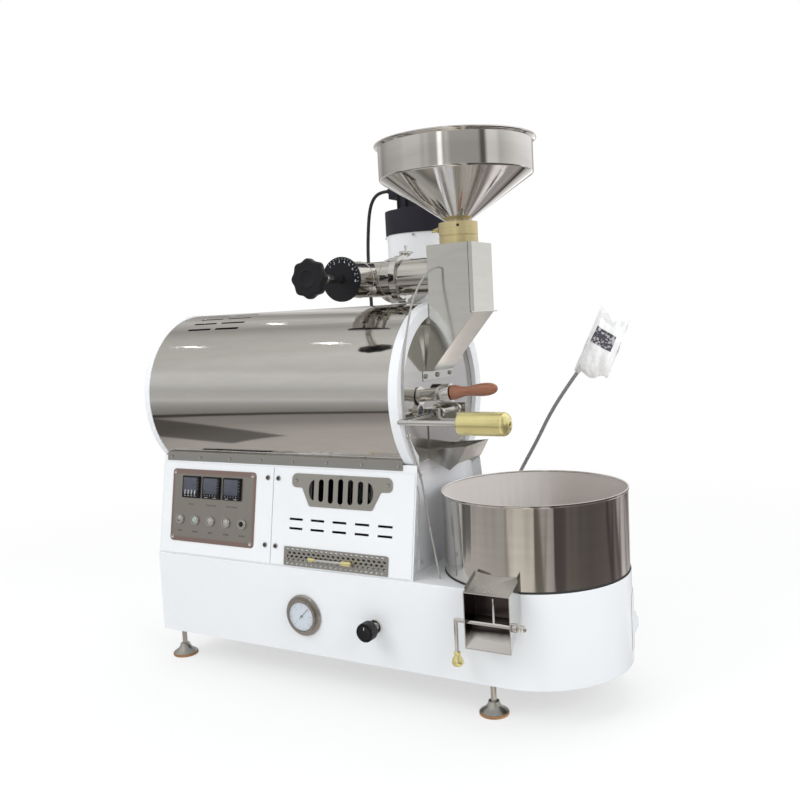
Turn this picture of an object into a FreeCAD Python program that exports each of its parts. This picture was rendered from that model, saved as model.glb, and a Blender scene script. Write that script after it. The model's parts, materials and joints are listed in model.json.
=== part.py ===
import FreeCAD, Part
import math
import os
import re
import Sketcher

# A one-kilogram drum coffee roaster on a sheet-metal base: X runs along the drum axis to the
# cooling tray, -Y is the operator's side, and Z = 0 is the surface that the feet stand on.

# The driving sizes in millimetres and degrees; each goes into the sheet under its own name.
SIZES = {
    # gaps between pieces
    "run_gap": 0.05,  # shaft in its bearing, on the radius
    "seat_gap": 0.3,  # between a moving piece and what it rests against
    "free_gap": 2.0,  # round a shaft that only passes through
    # base box with its round nose
    "base_bottom": 71,
    "base_height": 176,
    "base_half_width": 179,
    "base_left": 504,
    "base_sheet": 2,
    "base_lip": 60,
    "tray_x": 326,
    # levelling feet
    "foot_near_x": 286,
    "foot_far_x": 486,
    "foot_y": 137,
    "foot_radius": 28,
    "foot_rim": 5,
    "foot_bell": 20,
    "foot_neck_radius": 9,
    "stud_radius": 5.5,
    "stud_nut_radius": 10,
    "stud_nut_height": 8,
    # upper cabinet with sloping front and back
    "cabinet_foot": 176,
    "cabinet_slope": 10.2,
    "cabinet_height": 214,
    "cabinet_right": 148,
    "cabinet_sheet": 2,
    "end_wall_x": 123,
    "gland_x": -150,
    "gland_z": 391,
    "gland_radius": 8,
    # doors on the sloping front, in its own plane: u along X, v up the slope
    "door_sheet": 1.5,
    "door_split_u": -190,
    "door_seam": 2,
    "door_bottom_v": 3,
    "door_top_v": 202,
    "door_side_gap": 5,
    "control_left_u": -471,
    "control_right_u": -235.5,
    "control_low_v": 29.7,
    "control_high_v": 188,
    "control_corner": 8,
    "plate_sheet": 1.5,
    "display_size": 48,
    "display_mid_u": -356.5,
    "display_pitch": 58,
    "display_v": 149.5,
    "display_bezel": 5,
    "display_depth": 48,
    "display_body": 44,
    "button_mid_u": -355.5,
    "button_pitch": 44,
    "button_v": 78,
    "button_radius": 7.5,
    "button_stand": 4,
    "button_travel": 3,
    "bezel_radius": 11,
    "bezel_thick": 2,
    "bezel_barrel": 9,
    "bezel_depth": 20,
    "vent_mid_u": -21.6,
    "vent_half": 119.5,
    "vent_band_low_v": 166,
    "vent_band_high_v": 191.5,
    "vent_low_v": 126,
    "vent_low_half": 75,
    "vent_shoulder_half": 94,
    "vent_slot_pitch": 23.4,
    "vent_slot_width": 12,
    "vent_slot_v": 159,
    "vent_slot_half": 21,
    "louvre_first_u": -128,
    "louvre_pitch": 53,
    "louvre_length": 33,
    "louvre_width": 4.5,
    "louvre_low_v": 79,
    "louvre_high_v": 98,
    "flap_left_u": -154,
    "flap_right_u": 94.5,
    "flap_low_v": 4,
    "flap_high_v": 42,
    "flap_sheet": 1.5,
    "flap_hole": 11,
    "flap_hole_pitch": 16.5,
    "pull_left_u": -85,
    "pull_right_u": 23,
    "pull_v": 21,
    "pull_stand": 12,
    "pull_radius": 3,
    # gauge and gas valve on the base front
    "instrument_z": 151,
    "gauge_x": -109,
    "gauge_flange": 42.5,
    "gauge_case": 34,
    "gauge_glass": 30,
    "gauge_stand": 12,
    "gauge_body": 29,
    "gauge_depth": 28,
    "gas_x": 62,
    "gas_stem": 8,
    "gas_collar": 14,
    "gas_stand": 20,
    "gas_knob_radius": 18.5,
    "gas_knob_depth": 23,
    # barrel round the drum
    "axis_above_deck": 341,
    "cover_inset": 1.5,
    "cover_sheet": 1.2,
    "ring_radius": 182.5,
    "ring_bore": 158,
    "ring_sheet": 2,
    "ring_right": 138,
    "ring_depth": 20,
    "rear_ring_depth": 14,
    "barrel_left": 507,
    "cover_edge_below": 121,
    "strip_width": 17,
    "plate_set_back": 11,
    "front_sheet": 2,
    "keyhole_half": 110,
    "slot_first_x": -440,
    "slot_length": 65,
    "slot_gap": 14,
    "slot_width": 7,
    # drum and its drive
    "drum_radius": 115,
    "drum_sheet": 2,
    "drum_length": 268,
    "drum_mouth": 98,
    "drum_gap": 9,
    "vane_height": 16,
    "vane_sheet": 2,
    "spider_x": -70,
    "spider_width": 16,
    "shaft_radius": 8,
    "shaft_rear": 300,
    "bearing_radius": 16,
    "bearing_stand": 12,
    "bulkhead_gap": 18,
    "bulkhead_sheet": 3,
    "gearbox_length": 60,
    "gearbox_half": 45,
    "motor_radius": 42,
    "motor_length": 120,
    # gas burner under the drum
    "burner_z": 415,
    "burner_radius": 10,
    "burner_pitch": 52,
    "burner_length": 220,
    "burner_left": -140,
    # front plate openings and fittings
    "inlet_half": 36,
    "inlet_low_z": 645,
    "inlet_high_z": 685,
    "outlet_half": 45,
    "outlet_low_z": 478,
    "outlet_high_z": 530,
    "sight_y": -84,
    "sight_z": 560,
    "sight_radius": 14,
    "sight_hole": 9,
    "sight_stand": 6,
    # sampling scoop (tryer)
    "tryer_y": -78,
    "tryer_z": 588,
    "tryer_tilt": 4.8,
    "tryer_rod": 10,
    "tryer_tube": 12.5,
    "tryer_flange": 18,
    "tryer_bell": 18,
    "tryer_tube_length": 72,
    "tryer_reach": 150,
    "tryer_handle": 14.5,
    "tryer_handle_length": 95,
    "trough_start": 70,
    "trough_wall": 1.5,
    # discharge door, its lever and the spout
    "lever_x": 150,
    "lever_z": 551,
    "lever_front_y": -197,
    "lever_back_y": 78,
    "lever_radius": 5,
    "weight_near": 121,
    "weight_length": 96,
    "weight_radius": 21,
    "weight_dome": 7,
    "ear_pitch": 60,
    "ear_width": 10,
    "ear_half": 10,
    "door_half": 48,
    "door_low_z": 471,
    "door_high_z": 544,
    "door_plate": 2,
    "spout_half": 53,
    "spout_reach": 84,
    "spout_high_z": 486,
    "spout_lip_z": 454,
    "spout_low_z": 438,
    "spout_sheet": 1.5,
    # feed chute, exhaust pipe and damper
    "chute_left": 141,
    "chute_depth": 97,
    "chute_half": 46,
    "chute_top_z": 878,
    "chute_kink_z": 745,
    "chute_foot_z": 633,
    "chute_neck_z": 725,
    "chute_sheet": 1.5,
    "chute_flange_z": 614,
    "pipe_x": -15,
    "pipe_z": 822,
    "pipe_radius": 36,
    "pipe_sheet": 1.5,
    "pipe_front_y": -110,
    "bell_radius": 49,
    "bell_start_y": 62,
    "bell_end_y": 92,
    "clamp_x": 57,
    "clamp_radius": 45,
    "clamp_width": 14,
    "dial_radius": 44,
    "dial_thick": 6,
    "damper_shaft": 6,
    "knob_front_y": -229,
    "knob_depth": 24,
    "knob_radius": 38,
    "knob_lobes": 8,
    "sleeve_gap": 0.6,
    # hopper, collar and feed gate
    "collar_radius": 38,
    "collar_bore": 28,
    "collar_height": 42,
    "groove_up": 15,
    "hopper_rim": 157,
    "hopper_wall": 150,
    "hopper_seam_z": 1007,
    "hopper_wall_height": 67,
    "hopper_neck": 27.6,
    "hopper_sheet": 1.2,
    "gate_up": 30,
    "gate_sheet": 3,
    "thumb_length": 9,
    "thumb_radius": 8,
    # cyclone and its fan
    "cyclone_y": 250,
    "cyclone_radius": 90,
    "cyclone_sheet": 2,
    "cyclone_top_z": 929,
    "cyclone_cone_z": 700,
    "cyclone_foot_z": 560,
    "cyclone_foot": 40,
    "chaff_top_z": 545,
    "chaff_height": 160,
    "chaff_radius": 68,
    "band_radius": 93,
    "band_height": 54,
    "fan_motor_radius": 60,
    "fan_motor_height": 88,
    "fin_height": 6,
    "fin_count": 12,
    "fan_shaft": 7,
    "fan_wheel_radius": 74,
    "fan_blades": 8,
    "fan_eye": 22,
    "terminal_z": 1038,
    # cooling tray and agitator
    "tray_radius": 177,
    "tray_sheet": 1.5,
    "tray_rim_z": 404,
    "tray_lift": 2.4,
    "tray_seat_inset": 5,
    "floor_sheet": 1.5,
    "floor_hole": 11,
    "agitator_shaft": 9,
    "agitator_hub": 24,
    "agitator_reach": 150,
    "agitator_arms": 3,
    "paddle_gap": 2.5,
    "arm_height": 20,
    "blower_radius": 75,
    "blower_height": 55,
    "blower_x": 60,
    "blower_outlet": 34,
    # discharge box on the tray
    "box_left_x": 276,
    "box_width": 88,
    "box_front_y": -225,
    "box_front_top_z": 256,
    "box_front_low_z": 154,
    "box_ramp_z": 203,
    "box_sheet": 1.5,
    "box_roof_rise": 0.43,
    "outlet_tall": 19,
    "tray_outlet_left": 290,
    "tray_outlet_width": 62,
    "cross_y": -214,
    "cross_z": 200,
    "cross_radius": 4,
    "ball_radius": 10,
    "ball_z": 124,
    # nose hatch
    "hatch_start": 6,
    "hatch_sweep": 40,
    "hatch_low_z": 95,
    "hatch_high_z": 205,
    "hatch_sheet": 1.5,
    # lamp on its gooseneck
    "lamp_x": 180,
    "lamp_y": 165,
    "lamp_arm": 4,
    "lamp_flange": 13,
    "bag_half": 15,
}

# Sizes that follow from others.
RULES = {
    # base box with its round nose
    "deck_z": "base_bottom + base_height",
    # upper cabinet with sloping front and back
    "cabinet_top_z": "deck_z + cabinet_height",
    "slope_run": "tan(cabinet_slope)",
    "cabinet_wall": "cabinet_sheet / cos(cabinet_slope)",
    # barrel round the drum
    "barrel_z": "deck_z + axis_above_deck",
    "cover_radius": "ring_radius - cover_inset",
    "cover_edge_z": "barrel_z - cover_edge_below",
    "ring_back": "ring_right - ring_depth",
    "plate_face": "ring_right - plate_set_back",
    "plate_back": "plate_face - front_sheet",
    "rear_ring_right": "rear_ring_depth - barrel_left",
    # drum and its drive
    "drum_right": "plate_back - drum_gap",
    "drum_left": "drum_right - drum_length",
    "bulkhead_x": "drum_left - bulkhead_gap",
    # hopper, collar and feed gate
    "hopper_x": "chute_left + chute_depth / 2",
    "collar_top_z": "chute_top_z + collar_height",
    "gate_z": "chute_top_z + gate_up",
    "hopper_top_z": "hopper_seam_z + hopper_wall_height",
    # cyclone and its fan
    "band_top_z": "cyclone_top_z + band_height",
    # cooling tray and agitator
    "tray_seat_radius": "tray_radius - tray_seat_inset",
    "floor_top_z": "deck_z + tray_lift + tray_sheet + floor_sheet + 0.1",
    # discharge box on the tray
    "box_back_y": "-base_half_width - seat_gap",
}

doc = FreeCAD.newDocument("coffee_roaster")
sizes = doc.addObject("Spreadsheet::Sheet", "sizes")
fits = doc.addObject("Spreadsheet::Sheet", "fits")
WORDS = {}
NODES = []
X_AXIS = FreeCAD.Vector(1, 0, 0)
Y_AXIS = FreeCAD.Vector(0, 1, 0)
Z_AXIS = FreeCAD.Vector(0, 0, 1)


def ex(formula):
    """A formula in plain size names, as an expression that reads the sheets."""
    return re.sub(r"[a-z_]{2,}", lambda found: WORDS.get(found.group(), found.group()), str(formula))


def fill(sheet, row, word, content):
    """One named cell of a sheet."""
    sheet.set(f"A{row}", content)
    sheet.setAlias(f"A{row}", word)
    WORDS[word] = f"{sheet.Label}.{word}"


def value(word):
    """The number that a size holds now."""
    sheet = sizes if word in SIZES else fits
    return float(sheet.get(word))


for row, (word, number) in enumerate(SIZES.items(), 1):
    fill(sizes, row, word, str(number))
for row, (word, formula) in enumerate(RULES.items(), 1):
    fill(fits, row, word, "=" + ex(formula))
doc.recompute()


# ---------------------------------------------------------------- ways of making solids

def bind(item, **formulas):
    """Tie the item's properties to formulas."""
    for name, formula in formulas.items():
        item.setExpression(name, ex(formula))
    return item


def place(item, x="0", y="0", z="0"):
    """Tie the item's position to formulas."""
    for letter, formula in zip("xyz", (x, y, z)):
        item.setExpression(f".Placement.Base.{letter}", ex(formula))
    return item


def turn(item, axis, angle):
    """Turn the item about an axis through its own origin."""
    item.Placement.Rotation = FreeCAD.Rotation(axis, 1)
    item.setExpression(".Placement.Rotation.Angle", ex(angle))
    return item


def box(left, right, front, back, low, high):
    """A block between two limits along each axis."""
    item = doc.addObject("Part::Box", "block")
    bind(item, Length=f"({right}) - ({left})", Width=f"({back}) - ({front})", Height=f"({high}) - ({low})")
    return place(item, left, front, low)


def rod(axis, radius, start, length, x="0", y="0", z="0"):
    """A round bar along an axis, from a start on it; x, y and z place the other two ways."""
    item = doc.addObject("Part::Cylinder", "rod")
    bind(item, Radius=radius, Height=length)
    return lay(item, axis, start, x, y, z)


def taper(axis, radius, end_radius, start, length, x="0", y="0", z="0"):
    """A round bar whose radius changes along its axis."""
    item = doc.addObject("Part::Cone", "taper")
    bind(item, Radius1=radius, Radius2=end_radius, Height=length)
    return lay(item, axis, start, x, y, z)


def lay(item, axis, start, x, y, z):
    """Lay a round piece along X, Y or Z from its start."""
    if axis == "x":
        turn(item, Y_AXIS, "90")
        return place(item, start, y, z)
    if axis == "y":
        turn(item, X_AXIS, "-90")
        return place(item, x, start, z)
    return place(item, x, y, start)


def ball(radius, x, y, z):
    item = doc.addObject("Part::Sphere", "ball")
    bind(item, Radius=radius)
    return place(item, x, y, z)


def cut(item, *tools):
    """The item with the tools taken out of it."""
    result = doc.addObject("Part::Cut", "cut")
    result.Base = item
    result.Tool = tools[0] if len(tools) == 1 else fuse(*tools)
    return result


def fuse(*items):
    result = doc.addObject("Part::MultiFuse", "fuse")
    result.Shapes = list(items)
    return result


def group(*items):
    """Separate solids that share one node."""
    result = doc.addObject("Part::Compound", "group")
    result.Links = list(items)
    return result


def keep(item, node):
    """Name a finished sub-part."""
    item.Label = node
    if item.Label != node:
        raise SystemExit(f"name already used: {node}")
    NODES.append(item)
    return item


def body(name, x="0", y="0", z="0"):
    return place(doc.addObject("PartDesign::Body", name), x, y, z)


def sketch(part, plane, offset="0"):
    """A sketch on one of the body's own planes, moved along its normal."""
    item = part.newObject("Sketcher::SketchObject", "sketch")
    origin = next(feature for feature in part.Origin.OriginFeatures if feature.Role == plane)
    item.AttachmentSupport = [(origin, "")]
    item.MapMode = "FlatFace"
    item.setExpression(".AttachmentOffset.Base.z", ex(offset))
    return item


def pin_point(item, edge, point, x, y):
    """Hold a point of the sketch at two formulas."""
    for kind, formula in (("DistanceX", x), ("DistanceY", y)):
        index = item.addConstraint(Sketcher.Constraint(kind, -1, 1, edge, point, 1.0))
        item.setExpression(f"Constraints[{index}]", ex(formula))


def outline(item, points):
    """A closed outline through points given by formulas."""
    first = item.GeometryCount
    count = len(points)
    corners = [FreeCAD.Vector(math.cos(math.tau * i / count), math.sin(math.tau * i / count), 0)
               for i in range(count)]
    for i in range(count):
        item.addGeometry(Part.LineSegment(corners[i], corners[(i + 1) % count]), False)
    for i in range(count):
        item.addConstraint(Sketcher.Constraint("Coincident", first + i, 2, first + (i + 1) % count, 1))
    for i, (x, y) in enumerate(points):
        pin_point(item, first + i, 1, x, y)
    return item


def window(item, left, right, low, high):
    return outline(item, [(left, low), (right, low), (right, high), (left, high)])


def circle(item, radius, x="0", y="0"):
    edge = item.addGeometry(Part.Circle(FreeCAD.Vector(1, 1, 0), Z_AXIS, 1), False)
    pin_point(item, edge, 3, x, y)
    index = item.addConstraint(Sketcher.Constraint("Radius", edge, 1.0))
    item.setExpression(f"Constraints[{index}]", ex(radius))
    return item


def pad(part, profile, length, back=False):
    item = part.newObject("PartDesign::Pad", "pad")
    item.Profile = profile
    item.Reversed = back
    return bind(item, Length=length)


def pocket(part, profile, length, back=False):
    item = part.newObject("PartDesign::Pocket", "pocket")
    item.Profile = profile
    item.Reversed = back
    return bind(item, Length=length)


def spin(part, profile, axis="V_Axis", angle="360"):
    item = part.newObject("PartDesign::Revolution", "turned")
    item.Profile = profile
    item.ReferenceAxis = (profile, [axis])
    return bind(item, Angle=angle)


def turned(name, points, x="0", y="0", z="0", axis="V_Axis"):
    """A body turned about Z (points are radius, height) or about X (points are length, radius)."""
    part = body(name, x, y, z)
    profile = outline(sketch(part, "XZ_Plane"), points)
    spin(part, profile, axis)
    return part


def on_front(item, u="0", v="0", w="0"):
    """Put an item on the cabinet's sloping front: u along it, v up it and w out of it."""
    place(item, u,
          f"-cabinet_foot + ({v}) * sin(cabinet_slope) - ({w}) * cos(cabinet_slope)",
          f"deck_z + ({v}) * cos(cabinet_slope) + ({w}) * sin(cabinet_slope)")
    return turn(item, X_AXIS, "90 - cabinet_slope")


def around(item, x, radius, angle):
    """Put an item at an angle round the drum's axis."""
    place(item, x, f"-({radius}) * sin({angle})", f"barrel_z + ({radius}) * cos({angle})")
    return turn(item, X_AXIS, str(angle))


def cord(points, diameter):
    """A cord along straight runs joined by arcs as large as the runs allow."""
    route = [FreeCAD.Vector(*point) for point in points]
    edges = []
    here = route[0]
    for before, corner, after in zip(route, route[1:], route[2:]):
        back = (before - corner).normalize()
        ahead = (after - corner).normalize()
        half_turn = (math.pi - back.getAngle(ahead)) / 2
        shorter = min((before - corner).Length, (after - corner).Length)
        radius = 0.45 * shorter / math.tan(half_turn)
        start = corner + back * 0.45 * shorter
        end = corner + ahead * 0.45 * shorter
        middle = (back + ahead).normalize()
        centre = corner + middle * radius / math.cos(half_turn)
        edges.append(Part.LineSegment(here, start).toShape())
        edges.append(Part.Arc(start, centre - middle * radius, end).toShape())
        here = end
        print("cord radius", round(radius, 1))
    edges.append(Part.LineSegment(here, route[-1]).toShape())
    path = Part.Wire(edges)
    ring = Part.Circle(route[0], route[1] - route[0], diameter / 2).toShape()
    solid = path.makePipeShell([Part.Wire([ring])], True, False)
    print("cord length", round(path.Length, 1), "volume ratio",
          round(solid.Volume / (math.pi * diameter ** 2 / 4 * path.Length), 4))
    item = doc.addObject("Part::Feature", "cord")
    item.Shape = solid
    return item


# ---------------------------------------------------------------- base

def base_housing():
    """Folded steel box with a round nose; open below inside a wide lip that the feet screw into."""
    part = body("base_housing")
    for level, wall, height, maker in (
            ("base_bottom", "0", "base_height", pad),
            ("base_bottom + base_sheet", "base_sheet", "base_height - 2 * base_sheet", pocket),
            ("base_bottom", "base_lip", "base_sheet", pocket)):
        straight = window(sketch(part, "XY_Plane", level), f"{wall} - base_left", "tray_x",
                          f"{wall} - base_half_width", f"base_half_width - {wall}")
        maker(part, straight, height, back=maker is pocket)
        nose = circle(sketch(part, "XY_Plane", level), f"base_half_width - {wall}", "tray_x")
        maker(part, nose, height, back=maker is pocket)
    air = circle(sketch(part, "XY_Plane", "deck_z"), "tray_seat_radius - 10", "tray_x")
    pocket(part, air, "base_sheet")
    front = sketch(part, "XZ_Plane", "base_half_width")
    circle(front, "gauge_body + seat_gap", "gauge_x", "instrument_z")
    circle(front, "gas_stem + seat_gap", "gas_x", "instrument_z")
    pocket(part, front, "base_sheet")
    rear = circle(sketch(part, "XZ_Plane", "-base_half_width"), "blower_outlet + seat_gap",
                  "blower_x", "deck_z - base_sheet - blower_height / 2 - 10")
    pocket(part, rear, "base_sheet", back=True)
    hatch = sketch(part, "XY_Plane", "hatch_low_z + 5")
    corners = []
    for radius, angle in (("base_half_width - 12", "hatch_start + 4"),
                          ("base_half_width + 14", "hatch_start + 4"),
                          ("base_half_width + 14", "hatch_start + hatch_sweep - 4"),
                          ("base_half_width - 12", "hatch_start + hatch_sweep - 4")):
        corners.append((f"tray_x + ({radius}) * cos({angle})", f"({radius}) * sin({angle})"))
    pocket(part, outline(hatch, corners), "hatch_high_z - hatch_low_z - 10", back=True)
    studs = sketch(part, "XY_Plane", "base_bottom")
    for x in ("foot_near_x", "-foot_far_x"):
        for y in ("foot_y", "-foot_y"):
            circle(studs, "stud_radius + seat_gap", x, y)
    pocket(part, studs, "base_sheet", back=True)
    keep(part, "base_housing")


def levelling_feet():
    """Four bell-shaped feet, each on a threaded stud with a hexagon nut against the base."""
    pieces = []
    for x in ("foot_near_x", "-foot_far_x"):
        for y in ("foot_y", "-foot_y"):
            rim = rod("z", "foot_radius", "0", "foot_rim", x, y)
            bell = taper("z", "foot_radius - 1", "foot_neck_radius", "foot_rim", "foot_bell", x, y)
            pieces.append(fuse(rim, bell))
            stud = rod("z", "stud_radius", "foot_rim + foot_bell",
                       "base_bottom + base_sheet + stud_nut_height + 4 - foot_rim - foot_bell", x, y)
            pieces.append(fuse(stud, hexagon(x, y, "base_bottom - stud_nut_height"),
                               hexagon(x, y, "base_bottom + base_sheet")))
    keep(group(*pieces), "levelling_feet")


def hexagon(x, y, low):
    item = doc.addObject("Part::Prism", "nut")
    item.Polygon = 6
    bind(item, Circumradius="stud_nut_radius", Height="stud_nut_height")
    return place(item, x, y, low)


def gauge():
    """Round pressure gauge let into the base front, with its pointer."""
    case = turned("gauge_case", [
        ("0", "-gauge_depth"), ("gauge_body", "-gauge_depth"), ("gauge_body", "0"),
        ("gauge_flange", "0"), ("gauge_flange", "3"), ("gauge_flange - 3", "gauge_stand / 2"),
        ("gauge_case", "gauge_stand / 2"), ("gauge_case", "gauge_stand"),
        ("gauge_glass", "gauge_stand"), ("gauge_glass", "gauge_stand - 4"), ("0", "gauge_stand - 4")],
        "gauge_x", "-base_half_width", "instrument_z")
    turn(case, X_AXIS, "90")
    keep(case, "gauge_case")
    hub = rod("z", "3", "gauge_stand - 4 + seat_gap", "1.5")
    hand = box("-9", "gauge_glass - 7", "-0.8", "0.8", "gauge_stand - 4 + seat_gap", "gauge_stand - 3")
    needle = place(fuse(hub, hand), "gauge_x", "-base_half_width", "instrument_z")
    needle.Placement.Rotation = FreeCAD.Rotation(X_AXIS, 90) * FreeCAD.Rotation(Z_AXIS, 45)
    keep(needle, "gauge_needle")


def gas_control():
    """Needle valve through the base front, and its round knob."""
    front = "-base_half_width"
    stem = rod("y", "gas_stem", f"{front} - gas_stand", "gas_stand + 26", "gas_x", z="instrument_z")
    collar = rod("y", "gas_collar", f"{front} - 5", "5", "gas_x", z="instrument_z")
    nut = rod("y", "gas_collar", f"{front} + base_sheet", "6", "gas_x", z="instrument_z")
    spindle = rod("y", "4", f"{front} - gas_stand - gas_knob_depth + 6", "gas_knob_depth - 6",
                  "gas_x", z="instrument_z")
    keep(fuse(stem, collar, nut, spindle), "gas_valve")
    grip = rod("y", "gas_knob_radius", f"{front} - gas_stand - gas_knob_depth", "gas_knob_depth - seat_gap",
               "gas_x", z="instrument_z")
    bore = rod("y", "4 + run_gap", f"{front} - gas_stand - gas_knob_depth + 5", "gas_knob_depth",
               "gas_x", z="instrument_z")
    flutes = []
    for k in range(10):
        angle = 36 * k
        flutes.append(rod("y", "3", f"{front} - gas_stand - gas_knob_depth - 1", "gas_knob_depth - 5",
                          f"gas_x + (gas_knob_radius + 1.2) * cos({angle})",
                          z=f"instrument_z + (gas_knob_radius + 1.2) * sin({angle})"))
    keep(cut(grip, bore, *flutes), "gas_knob")


def nose_hatch():
    """Curved access door in the nose, with its toggle latch."""
    door = body("nose_hatch_door", "tray_x")
    panel = sketch(door, "XZ_Plane")
    window(panel, "base_half_width + seat_gap", "base_half_width + seat_gap + hatch_sheet",
           "hatch_low_z", "hatch_high_z")
    spin(door, panel, "V_Axis", "hatch_sweep")
    turn(door, Z_AXIS, "hatch_start")
    middle = "(hatch_low_z + hatch_high_z) / 2"
    outer = "base_half_width + seat_gap + hatch_sheet"
    latch = box(f"{outer} - 1", f"{outer} + 5", "-7", "7", f"{middle} - 18", f"{middle} + 18")
    latch = turn(place(fuse(latch, box(f"{outer} + 5", f"{outer} + 9", "-4", "4",
                                       f"{middle} - 10", f"{middle} + 10")), "tray_x"),
                 Z_AXIS, "hatch_start + 3")
    keep(fuse(door, latch), "nose_hatch")


# ---------------------------------------------------------------- upper cabinet and its doors

def slope_half(z, inward="0"):
    """Half width of the cabinet at a height, less a distance inwards."""
    return f"cabinet_foot - (({z}) - deck_z) * slope_run - ({inward})"


def upper_cabinet():
    """Folded steel cabinet that carries the barrel; its front and back lean inwards."""
    part = body("cabinet_shell")
    trapeze = []
    for wall in ("0", "cabinet_wall"):
        trapeze.append([(f"-({slope_half('deck_z', wall)})", "deck_z"),
                        (slope_half("deck_z", wall), "deck_z"),
                        (slope_half("cabinet_top_z", wall), "cabinet_top_z"),
                        (f"-({slope_half('cabinet_top_z', wall)})", "cabinet_top_z")])
    outer = outline(sketch(part, "YZ_Plane", "-base_left"), trapeze[0])
    pad(part, outer, "cabinet_right + base_left")
    inner = outline(sketch(part, "YZ_Plane", "end_wall_x"), trapeze[1])
    pocket(part, inner, "end_wall_x + base_left - cabinet_sheet")
    cheeks = outline(sketch(part, "YZ_Plane", "cabinet_right"), trapeze[1])
    pocket(part, cheeks, "cabinet_right - end_wall_x - cabinet_sheet")
    for x, depth in (("cabinet_right", "60"), ("rear_ring_right + 4", "30")):
        seat = circle(sketch(part, "YZ_Plane", x), "ring_radius + seat_gap", "0", "barrel_z")
        pocket(part, seat, depth)
    front = sketch(part, "XZ_Plane", "cabinet_foot + 1")
    window(front, "control_left_u - 4", "door_split_u - 14", "deck_z + 16", "cabinet_top_z - 24")
    window(front, "door_split_u + 14", "end_wall_x - 10", "deck_z + 16", "cabinet_top_z - 24")
    pocket(part, front, "60")
    gland_face = slope_half("gland_z")
    gland = rod("y", "gland_radius", f"{gland_face} - 1", "9", "gland_x", z="gland_z")
    keep(fuse(part, gland), "upper_cabinet")


def control_door():
    """Left door with the instrument plate, three displays and five push buttons."""
    door = body("control_door")
    panel = window(sketch(door, "XY_Plane", "seat_gap"), "door_side_gap - base_left",
                   "door_split_u - door_seam / 2", "door_bottom_v", "door_top_v")
    pad(door, panel, "door_sheet")
    hole = window(sketch(door, "XY_Plane", "seat_gap + door_sheet"), "control_left_u + 14",
                  "control_right_u - 14", "control_low_v + 14", "control_high_v - 14")
    pocket(door, hole, "door_sheet")
    keep(on_front(door), "control_door")

    back = "seat_gap + door_sheet"
    plate = body("control_plate_sheet")
    blank = pad(plate, window(sketch(plate, "XY_Plane", back), "control_left_u", "control_right_u",
                              "control_low_v", "control_high_v"), "plate_sheet")
    doc.recompute()
    round_corners(plate, blank, "control_corner")
    holes = sketch(plate, "XY_Plane", f"{back} + plate_sheet")
    for k in (-1, 0, 1):
        window(holes, f"display_mid_u + {k} * display_pitch - display_body / 2 - run_gap",
               f"display_mid_u + {k} * display_pitch + display_body / 2 + run_gap",
               "display_v - display_body / 2 - run_gap", "display_v + display_body / 2 + run_gap")
    for k in range(-2, 3):
        circle(holes, "bezel_barrel + 0.1", f"button_mid_u + {k} * button_pitch", "button_v")
    pocket(plate, holes, "plate_sheet")
    face = f"{back} + plate_sheet"
    bezels = []
    displays = []
    for k in range(-2, 3):
        at = {"x": f"button_mid_u + {k} * button_pitch", "y": "button_v"}
        ring = fuse(rod("z", "bezel_radius", face, "bezel_thick", **at),
                    rod("z", "bezel_barrel", f"{face} - bezel_depth", "bezel_depth", **at))
        bore = rod("z", "button_radius + run_gap", f"{face} - bezel_depth + 2", "bezel_depth + bezel_thick", **at)
        bezels.append(cut(ring, bore))
        low = "2 + button_travel + seat_gap - bezel_depth"
        cap = fuse(rod("z", "button_radius", low, f"button_stand - 1 - ({low})"),
                   taper("z", "button_radius", "button_radius - 1", "button_stand - 1", "1"))
        on_front(cap, at["x"], at["y"], face)
        keep(cap, f"button_{k + 3}")
    for k in (-1, 0, 1):
        middle = f"display_mid_u + {k} * display_pitch"
        displays.append(fuse(
            box(f"{middle} - display_size / 2", f"{middle} + display_size / 2",
                "display_v - display_size / 2", "display_v + display_size / 2", face,
                f"{face} + display_bezel"),
            box(f"{middle} - display_body / 2", f"{middle} + display_body / 2",
                "display_v - display_body / 2", "display_v + display_body / 2",
                f"{face} - display_depth", face)))
    keep(on_front(group(plate, *bezels)), "control_plate")
    keep(on_front(group(*displays)), "displays")


def round_corners(part, blank, radius):
    """Round the upright edges of a flat plate."""
    upright = [f"Edge{i + 1}" for i, edge in enumerate(blank.Shape.Edges)
               if abs(edge.tangentAt(edge.FirstParameter).z) > 0.99]
    item = part.newObject("PartDesign::Fillet", "corners")
    item.Base = (blank, upright)
    bind(item, Radius=radius)


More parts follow.
